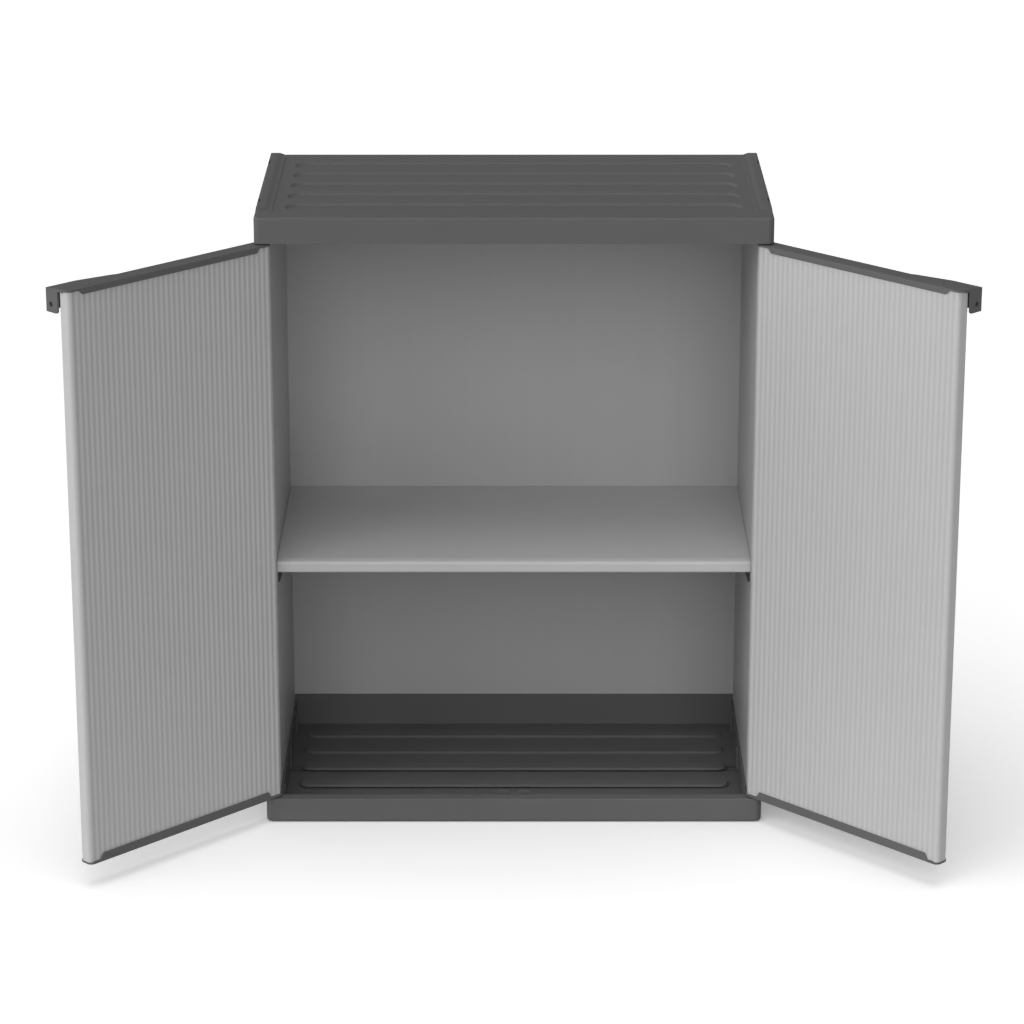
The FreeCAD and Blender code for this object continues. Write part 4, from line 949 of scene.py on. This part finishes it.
def add_skirt(cap, s, side, inner, rise, end):
    """Draw a cap's skirt out of its rim, with sloped ends."""
    face = side * s.thickness / 2
    rim = (face, face + side * s.skirt)
    far = inner + rise
    score(cap, zone(z=inner, y=rim), x=(s.skirt_start, end))
    push(cap, zone(z=inner, y=rim, x=(s.skirt_start, end)), z=rise)
    shift(cap, zone(x=s.skirt_start, z=far, y=rim), x=s.slope_pin)
    shift(cap, zone(x=end, z=far, y=rim), x=-s.slope_tip)


def add_boss(cap, s, catches, inner, outer, way):
    """Weld on the pin boss and the catch bump, and cut the pin's bore."""
    boss = rod("boss", (0, 0, inner - way * LAP), (0, 0, inner + way * catches.bore_depth), s.boss)
    bump_end = outer - way * catches.bump_height
    place = -PIN.x - catches.catch_place
    bump = rod("bump", (place, 0, outer + way * LAP), (place, 0, bump_end), catches.bump_radius)
    with editing(bump):
        round_edges(bump, zone(z=bump_end), catches.bump_edge, 4)
    unite(cap, boss, bump)
    cut(cap, rod("bore", (0, 0, outer - way * LAP), (0, 0, outer + way * catches.bore_depth), catches.bore))


class CABINET_OT_door_boards(bpy.types.Operator):
    """Model the fluted door panels from one flute"""

    bl_idname = "cabinet.door_boards"
    bl_label = "Door panels"

    def execute(self, context):
        s = context.scene.cabinet_doors
        half = s.thickness / 2
        first, pitch, last = flute_places(s)
        door = block("door_board_left", (first, -half, DOOR_LOW), (first + pitch, half, DOOR_HIGH))
        parts = [step / s.flute_steps for step in range(1, s.flute_steps)]
        with editing(door):
            pick(door, "FACE", any_of(zone(x=first), zone(x=first + pitch)))
            bpy.ops.mesh.delete(type="ONLY_FACE")
            score(door, zone(), x=[first + pitch * part for part in parts])
            for part in parts:
                depth = s.flute_depth * (1 - math.cos(2 * math.pi * part)) / 2
                shift(door, zone(x=first + pitch * part, y=half), y=-depth)
                shift(door, zone(x=first + pitch * part, y=-half), y=depth)
        use_modifier(door, "ARRAY", count=s.flute_count, use_relative_offset=False,
                     use_constant_offset=True, constant_offset_displace=(pitch, 0, 0),
                     use_merge_vertices=True, merge_threshold=NEAR)
        with editing(door):
            for place, end in ((first, -s.inset), (last, s.end)):
                pick(door, "EDGE", zone(x=place))
                bpy.ops.mesh.extrude_region_move(TRANSFORM_OT_translate={"value": (end - place, 0, 0)})
                bpy.ops.mesh.edge_face_add()
                round_edges(door, zone(x=end, run="z"), min(s.nose, abs(end - place) - NEAR * 2), 8)
        room = s.boss + s.boss_play
        deep = context.scene.cabinet_catches.bore_depth + LAP
        cut(door, rod("pocket", (0, 0, DOOR_LOW - LAP), (0, 0, DOOR_LOW + deep), room, 32),
            rod("pocket", (0, 0, DOOR_HIGH + LAP), (0, 0, DOOR_HIGH - deep), room, 32))
        soften(door, s.softening)
        hang_pair(door, s.opening, "door_panel", "panel_resin", "drawn_door_left", "drawn_door_right")
        return {"FINISHED"}


class CABINET_OT_low_caps(bpy.types.Operator):
    """Model the lower door caps: plate, two skirts, pin boss and catch bump"""

    bl_idname = "cabinet.low_caps"
    bl_label = "Lower door caps"

    def execute(self, context):
        s = context.scene.cabinet_doors
        catches = context.scene.cabinet_catches
        low = DOOR_LOW - s.plate
        cap = cap_tray("low_cap_left", s, low, 1, s.tip_low)
        with editing(cap):
            for side in (-1, 1):
                add_skirt(cap, s, side, low + s.rim, s.skirt_low - s.rim, s.skirt_end)
        add_boss(cap, s, catches, DOOR_LOW, low, 1)
        soften(cap, s.cap_softening, 3)
        hang_pair(cap, s.opening, "door_bottom_cap", "frame_resin", "moulded_frame")
        return {"FINISHED"}


class CABINET_OT_high_caps(bpy.types.Operator):
    """Model the upper door caps: plate, skirts, finger pull, padlock tab, boss and bump"""

    bl_idname = "cabinet.high_caps"
    bl_label = "Upper door caps"

    def execute(self, context):
        s = context.scene.cabinet_doors
        catches = context.scene.cabinet_catches
        high = DOOR_HIGH + s.plate
        half = s.thickness / 2 + s.skirt
        cap = cap_tray("high_cap_left", s, high, -1, s.tip)
        with editing(cap):
            rise = s.rim - s.skirt_high
            add_skirt(cap, s, 1, high - s.rim, rise, s.skirt_end)
            add_skirt(cap, s, -1, high - s.rim, rise, s.pull_root + s.slope_tip)
            round_edges(cap, zone(z=high), s.cap_edge, 3)
            round_edges(cap, zone(z=high - s.skirt_high, run="x"), s.cap_edge, 3)
        grip = half + s.pull_reach
        plate = self.flare(s, "pull_plate", -grip, s.cap_corner - half, high - s.rim - s.pull_sink, high)
        skirt = self.flare(s, "pull_skirt", -grip, -grip + s.skirt, high - s.pull_drop, high - LAP)
        web = block("end_web", (s.tip - s.tab, -s.tab_inner - LAP, high - s.web), (s.tip, LAP, high - LAP))
        unite(cap, plate, skirt, self.tab(s, grip, high), web)
        lock = (-grip + s.lock_inset, high - s.lock_drop)
        cut(cap, rod("lock", (s.tip - 2 * s.tab, *lock), (s.tip + LAP, *lock), s.lock))
        add_boss(cap, s, catches, DOOR_HIGH, high, -1)
        soften(cap, 0)
        hang_pair(cap, s.opening, "door_top_cap", "frame_resin", "moulded_frame")
        return {"FINISHED"}

    def flare(self, s, name, front, back, low, high):
        """A form along the finger pull: it flares out to the tip, where it also bends down."""
        root = s.pull_root
        elbow = root + s.pull_run
        cap_face = -s.thickness / 2 - s.skirt
        step = cap_face - s.pull_step
        bend = step + (front - step) * (s.pull_bend - elbow) / (s.tip - elbow)
        form = block(name, (root, front, low), (s.tip, back, high))
        line = (front, min(back, front + s.skirt))
        with editing(form):
            round_edges(form, zone(y=front, run="x"), s.cap_edge, 3)
            score(form, zone(), x=(elbow, s.pull_bend))
            for x, y in ((root, cap_face), (elbow, step), (s.pull_bend, bend)):
                shift(form, zone(x=x, y=line), y=y - front)
            shift(form, zone(x=s.tip, y=line), z=-s.pull_fall)
            pick(form, "FACE", zone())
            bpy.ops.mesh.quads_convert_to_tris(quad_method="SHORTEST_DIAGONAL")
        return form

    def tab(self, s, grip, high):
        """Upright tab at the door's tip with a rounded lower inner corner."""
        low = high - s.tab_drop
        top = high - s.pull_fall - s.pull_sink
        tab = block("tab", (s.tip - s.tab, -grip, low), (s.tip, -s.tab_inner, top))
        with editing(tab):
            round_edges(tab, zone(z=low, y=-s.tab_inner, run="x"), s.tab_corner, 6)
        return tab


# Finishes

def node(tree, kind, settings=None, inputs=None):
    """Add a node; an input takes a number, a colour or another node's output."""
    made = tree.nodes.new("ShaderNode" + kind)
    for name, setting in (settings or {}).items():
        setattr(made, name, setting)
    for name, given in (inputs or {}).items():
        if isinstance(given, bpy.types.NodeSocket):
            tree.links.new(given, made.inputs[name])
        else:
            made.inputs[name].default_value = given
    return made


def effect_node(tree, name, inputs):
    """Place a shared effect in a material."""
    return node(tree, "Group", {"node_tree": bpy.data.node_groups[name]}, inputs).outputs


def effect(name, inputs, outputs):
    """Start a shared effect with named inputs and outputs."""
    tree = bpy.data.node_groups.new(name, "ShaderNodeTree")
    for socket, kind, default in inputs:
        made = tree.interface.new_socket(name=socket, in_out="INPUT", socket_type="NodeSocket" + kind)
        if default is not None:
            made.default_value = default
    for socket in outputs:
        tree.interface.new_socket(name=socket, in_out="OUTPUT", socket_type="NodeSocketFloat")
    return tree, tree.nodes.new("NodeGroupInput").outputs, tree.nodes.new("NodeGroupOutput").inputs


def maths(tree, operation, one, two, clamp=False):
    """Add a sum, a product or the like and give its result."""
    made = node(tree, "Math", {"operation": operation, "use_clamp": clamp}, {0: one, 1: two})
    return made.outputs[0]


def make_grain():
    """Fine moulded grain with a broad unevenness."""
    tree, given, result = effect("moulded_grain", [("Vector", "Vector", None), ("Grain", "Float", 1100.0)],
                                 ["Height", "Mottle"])
    fine = node(tree, "TexNoise", None, {"Vector": given["Vector"], "Scale": given["Grain"],
                                         "Detail": 2.0, "Roughness": 0.6})
    broad = node(tree, "TexNoise", None, {"Vector": given["Vector"], "Scale": 9.0, "Detail": 4.0,
                                          "Roughness": 0.55})
    tree.links.new(fine.outputs["Fac"], result["Height"])
    tree.links.new(broad.outputs["Fac"], result["Mottle"])


def make_polish_and_highlight():
    """Strip along convex and concave edges, where handling leaves resin smoother and where the colour takes
    a painted highlight.
    """
    tree, given, result = effect("edge_polish", [("Width", "Float", MM)], ["Edge"])
    soft = node(tree, "Bevel", {"samples": 4}, {"Radius": given["Width"]})
    plain = node(tree, "NewGeometry")
    alike = node(tree, "VectorMath", {"operation": "DOT_PRODUCT"},
                 {0: soft.outputs["Normal"], 1: plain.outputs["Normal"]})
    turned = maths(tree, "SUBTRACT", 1.0, alike.outputs["Value"])
    tree.links.new(maths(tree, "MULTIPLY", turned, 6.0, clamp=True), result["Edge"])


def make_dust():
    """Thin dust on what faces up."""
    tree, given, result = effect("settled_dust", [("Vector", "Vector", None)], ["Dust"])
    plain = node(tree, "NewGeometry")
    up = node(tree, "SeparateXYZ", None, {0: plain.outputs["Normal"]})
    lying = node(tree, "MapRange", None, {"Value": up.outputs["Z"], "From Min": 0.75, "From Max": 1.0})
    cloud = node(tree, "TexNoise", None, {"Vector": given["Vector"], "Scale": 22.0, "Detail": 5.0,
                                          "Roughness": 0.65})
    patch = node(tree, "MapRange", None,
                 {"Value": cloud.outputs["Fac"], "From Min": 0.35, "From Max": 0.75})
    tree.links.new(maths(tree, "MULTIPLY", lying.outputs[0], patch.outputs[0]), result["Dust"])


def make_drawing():
    """Faint upright lines that extrusion leaves on a board; across is X, along is Z."""
    tree, given, result = effect("drawn_lines", [("Vector", "Vector", None)], ["Height", "Streak"])
    long_map = node(tree, "Mapping", None, {"Vector": given["Vector"], "Scale": (1.0, 1.0, 0.012)})
    fine = node(tree, "TexNoise", None, {"Vector": long_map.outputs[0], "Scale": 900.0, "Detail": 2.0})
    broad = node(tree, "TexNoise", None, {"Vector": long_map.outputs[0], "Scale": 70.0, "Detail": 3.0})
    tree.links.new(fine.outputs["Fac"], result["Height"])
    tree.links.new(broad.outputs["Fac"], result["Streak"])


def make_flute_shade():
    """Painted shade in the valleys between the flutes' crests, where a door lies in its own shade; along
    the door is X.
    """
    tree, given, result = effect("flute_valleys", [("Vector", "Vector", None), ("First", "Float", 0.0),
                                                   ("Spacing", "Float", 0.01), ("Last", "Float", 0.3)],
                                 ["Valley"])
    along = node(tree, "SeparateXYZ", None, {0: given["Vector"]}).outputs["X"]
    along = maths(tree, "ABSOLUTE", along, 0.0)
    along = maths(tree, "MINIMUM", maths(tree, "MAXIMUM", along, given["First"]), given["Last"])
    turns = maths(tree, "DIVIDE", maths(tree, "SUBTRACT", along, given["First"]), given["Spacing"])
    wave = maths(tree, "COSINE", maths(tree, "MULTIPLY", turns, 2 * math.pi), 0.0)
    valley = maths(tree, "MULTIPLY", maths(tree, "SUBTRACT", 1.0, wave), 0.5, clamp=True)
    tree.links.new(valley, result["Valley"])


def shade(tint, factor):
    """A lighter or darker shade of a colour."""
    return tuple(min(1.0, part * factor) for part in tint)


def mix(tree, factor, first, second):
    """Go from one colour to another; the first may be another node's output."""
    made = node(tree, "Mix", {"data_type": "RGBA"}, {"Factor": factor, 6: first, 7: (*second, 1)})
    return made.outputs[2]


def finish(name):
    """Start a material: itself, its nodes, its shader and the place on the cabinet."""
    material = bpy.data.materials.new(name)
    material.use_nodes = True
    tree = material.node_tree
    return material, tree, tree.nodes["Principled BSDF"], node(tree, "TexCoord").outputs["Object"]


def resin(name, s, tint, roughness, gloss, turn=None, flutes=None):
    """Moulded or extruded resin: grain, drawn lines where it is a board, polished edges with a painted
    highlight, painted shade in the flutes' valleys where it is a door, and dust.
    """
    material, tree, shader, place = finish(name)
    if turn is not None:
        place = node(tree, "Mapping", None, {"Vector": place, "Rotation": (0, 0, turn)}).outputs[0]
    texture = effect_node(tree, "moulded_grain", {"Vector": place, "Grain": 1 / s.grain})
    edge = effect_node(tree, "edge_polish", {"Width": s.polish})["Edge"]
    dust = effect_node(tree, "settled_dust", {"Vector": place})["Dust"]
    height = texture["Height"]
    tone = texture["Mottle"]
    if turn is not None:
        lines = effect_node(tree, "drawn_lines", {"Vector": place})
        height = maths(tree, "ADD", maths(tree, "MULTIPLY", height, 0.5), lines["Height"])
        tone = maths(tree, "MULTIPLY", maths(tree, "ADD", tone, lines["Streak"]), 0.5)
    surface = mix(tree, tone, (*shade(tint, 1 - s.unevenness), 1), shade(tint, 1 + s.unevenness))
    if flutes is not None:
        first, pitch, last = flutes
        pin = (PIN.x + PIN.y) * math.sin(DIAGONAL)
        valley = effect_node(tree, "flute_valleys", {"Vector": place, "First": first - pin,
                                                     "Spacing": pitch, "Last": last - pin})["Valley"]
        # Painted shade: the colour darkens in the valleys between the flutes
        surface = mix(tree, maths(tree, "MULTIPLY", valley, s.valley), surface, shade(tint, s.valley_tone))
    # Painted highlight: the colour is lightened along edges
    surface = mix(tree, maths(tree, "MULTIPLY", edge, s.edge_highlight), surface, shade(tint, 1 + s.edge_highlight_tone))
    surface = mix(tree, maths(tree, "MULTIPLY", dust, s.dust), surface, DUST)
    tree.links.new(surface, shader.inputs["Base Color"])
    change = 0.08  # How far unevenness, edge polish and dust each change the roughness
    rough = maths(tree, "ADD", maths(tree, "MULTIPLY", texture["Mottle"], change),
                  roughness - change / 2)
    rough = maths(tree, "SUBTRACT", rough, maths(tree, "MULTIPLY", edge, change))
    rough = maths(tree, "ADD", rough, maths(tree, "MULTIPLY", dust, change))
    tree.links.new(rough, shader.inputs["Roughness"])
    bump = node(tree, "Bump", None, {"Height": height, "Strength": s.grain_strength,
                                      "Distance": s.grain_depth})
    tree.links.new(bump.outputs["Normal"], shader.inputs["Normal"])
    shader.inputs["Specular IOR Level"].default_value = gloss


def steel(name, tint):
    """Turned and plated steel with fine rings."""
    material, tree, shader, place = finish(name)
    shader.inputs["Metallic"].default_value = 1.0
    rings = node(tree, "Mapping", None, {"Vector": place, "Scale": (1.0, 1.0, 30.0)})
    lines = node(tree, "TexNoise", None, {"Vector": rings.outputs[0], "Scale": 120.0, "Detail": 2.0})
    fine = lines.outputs["Fac"]
    surface = mix(tree, fine, (*shade(tint, 0.85), 1), shade(tint, 1.1))
    rough = maths(tree, "ADD", maths(tree, "MULTIPLY", fine, 0.15), 0.22)
    tree.links.new(surface, shader.inputs["Base Color"])
    tree.links.new(rough, shader.inputs["Roughness"])
    return material


class CABINET_OT_finishes(bpy.types.Operator):
    """Make the resins and the steel, and dress the hinge pins"""

    bl_idname = "cabinet.finishes"
    bl_label = "Finishes"

    def execute(self, context):
        s = context.scene.cabinet_finishes
        make_grain()
        make_polish_and_highlight()
        make_dust()
        make_drawing()
        make_flute_shade()
        flutes = flute_places(context.scene.cabinet_doors)
        resin("moulded_frame", s, s.frame_resin, s.frame_roughness, s.frame_gloss)
        resin("drawn_board", s, s.board_resin, s.board_roughness, s.board_gloss, turn=0.0)
        for side, turn in (("left", -DIAGONAL), ("right", DIAGONAL)):
            resin("drawn_door_" + side, s, s.door_resin, s.board_roughness, s.board_gloss, turn, flutes)
        resin("moulded_shelf", s, s.shelf_resin, s.shelf_roughness, s.board_gloss)
        resin("moulded_support", s, s.support_resin, s.board_roughness, s.board_gloss)
        pins = steel("turned_steel", s.steel)
        for name, piece in frame["nodes"].items():
            if name.startswith("hinge_pin"):
                piece.data.materials.clear()
                piece.data.materials.append(pins)
        return {"FINISHED"}


class CABINET_OT_studio(bpy.types.Operator):
    """Set up the floor, the lamps and the camera"""

    bl_idname = "cabinet.studio"
    bl_label = "Studio"

    def execute(self, context):
        s = context.scene.cabinet_studio
        context.scene.view_settings.view_transform = "Standard"
        self.floor(s)
        self.surround(context.scene, s)
        for name, (side, rise, strength) in LAMPS.items():
            self.lamp(context.scene, s, name, math.radians(side), math.radians(rise), strength)
        self.camera(context.scene, s)
        return {"FINISHED"}

    def seen(self, tree, s):
        """How white a ray sees the surroundings: one of the camera in full, a mirrored one in part."""
        path = node(tree, "LightPath")
        other = maths(tree, "MAXIMUM", path.outputs["Is Glossy Ray"], path.outputs["Is Transmission Ray"])
        other = maths(tree, "MULTIPLY", other, s.mirror)
        return maths(tree, "MAXIMUM", path.outputs["Is Camera Ray"], other)

    def floor(self, s):
        """Plain pale floor that keeps the cabinet's shadow, with a painted shadow near the cabinet where
        its added white is darkened.
        """
        clear_selection()
        bpy.ops.mesh.primitive_plane_add(size=s.floor_size, location=(0, 0, -s.floor_drop))
        floor = take("studio_floor")
        paint = bpy.data.materials.new("floor_paint")
        paint.use_nodes = True
        tree = paint.node_tree
        shader = tree.nodes["Principled BSDF"]
        shader.inputs["Base Color"].default_value = (s.floor, s.floor, s.floor, 1)
        shader.inputs["Roughness"].default_value = 0.9
        shader.inputs["Specular IOR Level"].default_value = 0.1
        shader.inputs["Emission Color"].default_value = (1, 1, 1, 1)
        # Painted shadow: ambient occlusion darkens the white that the floor adds, near the cabinet
        open_sky = node(tree, "AmbientOcclusion", {"samples": 8}, {"Distance": s.shade_reach}).outputs["AO"]
        white = maths(tree, "MULTIPLY", self.seen(tree, s), s.white)
        tree.links.new(maths(tree, "MULTIPLY", white, open_sky), shader.inputs["Emission Strength"])
        floor.data.materials.append(paint)

    def surround(self, scene, s):
        """White surroundings, for the eye and for gloss only."""
        world = bpy.data.worlds.new("studio")
        scene.world = world
        world.use_nodes = True
        tree = world.node_tree
        white = tree.nodes["Background"]
        white.inputs["Color"].default_value = (1, 1, 1, 1)
        tree.links.new(self.seen(tree, s), white.inputs["Strength"])

    def lamp(self, scene, s, name, side, rise, strength):
        """One large soft lamp, far away."""
        light = bpy.data.lights.new(name, "SUN")
        light.energy = strength * s.light
        light.angle = s.spread
        lamp = bpy.data.objects.new(name, light)
        scene.collection.objects.link(lamp)
        level = math.cos(rise)
        source = Vector((-level * math.sin(side), -level * math.cos(side), math.sin(rise)))
        lamp.location = source * s.distance
        lamp.rotation_euler = (-source).to_track_quat("-Z", "Y").to_euler()

    def camera(self, scene, s):
        """Camera at the picture's place, looking down a little."""
        lens = bpy.data.cameras.new("camera")
        lens.lens = s.lens
        lens.sensor_width = SENSOR
        lens.shift_x, lens.shift_y = s.shift
        camera = bpy.data.objects.new("camera", lens)
        scene.collection.objects.link(camera)
        camera.location = (0, -s.distance, s.height)
        camera.rotation_euler = (math.pi / 2 - s.tilt, 0, 0)
        scene.camera = camera


OPERATORS = (CABINET_OT_finishes, CABINET_OT_tray, CABINET_OT_roof, CABINET_OT_boards, CABINET_OT_shelf,
             CABINET_OT_door_boards, CABINET_OT_low_caps, CABINET_OT_high_caps, CABINET_OT_studio)
GROUPS = {"cabinet_tray": TraySizes, "cabinet_catches": CatchSizes, "cabinet_roof": RoofSizes,
          "cabinet_boards": BoardSizes, "cabinet_doors": DoorSizes, "cabinet_finishes": Finishes,
          "cabinet_studio": Studio}


class CABINET_PT_panel(bpy.types.Panel):
    """Lists the cabinet's pieces in the order of making"""

    bl_idname = "CABINET_PT_panel"
    bl_label = "Storage cabinet"
    bl_space_type = "VIEW_3D"
    bl_region_type = "UI"
    bl_category = "Cabinet"

    def draw(self, context):
        for operator in OPERATORS:
            self.layout.operator(operator.bl_idname)
        for name, group in GROUPS.items():
            sizes = getattr(context.scene, name)
            column = self.layout.column(align=True)
            column.label(text=group.__doc__)
            for each in group.__annotations__:
                column.prop(sizes, each)


def register():
    for group in GROUPS.values():
        bpy.utils.register_class(group)
    for name, group in GROUPS.items():
        setattr(bpy.types.Scene, name, bpy.props.PointerProperty(type=group))
    for each in OPERATORS + (CABINET_PT_panel,):
        bpy.utils.register_class(each)


def unregister():
    for each in reversed(OPERATORS + (CABINET_PT_panel,)):
        bpy.utils.unregister_class(each)
    for name in GROUPS:
        delattr(bpy.types.Scene, name)
    for group in reversed(GROUPS.values()):
        bpy.utils.unregister_class(group)


def main():
    register()
    bpy.ops.cabinet.finishes()
    bpy.ops.cabinet.tray()
    bpy.ops.cabinet.roof()
    bpy.ops.cabinet.boards()
    bpy.ops.cabinet.shelf()
    bpy.ops.cabinet.door_boards()
    bpy.ops.cabinet.low_caps()
    bpy.ops.cabinet.high_caps()
    bpy.ops.cabinet.studio()


if __name__ == "__main__":
    main()
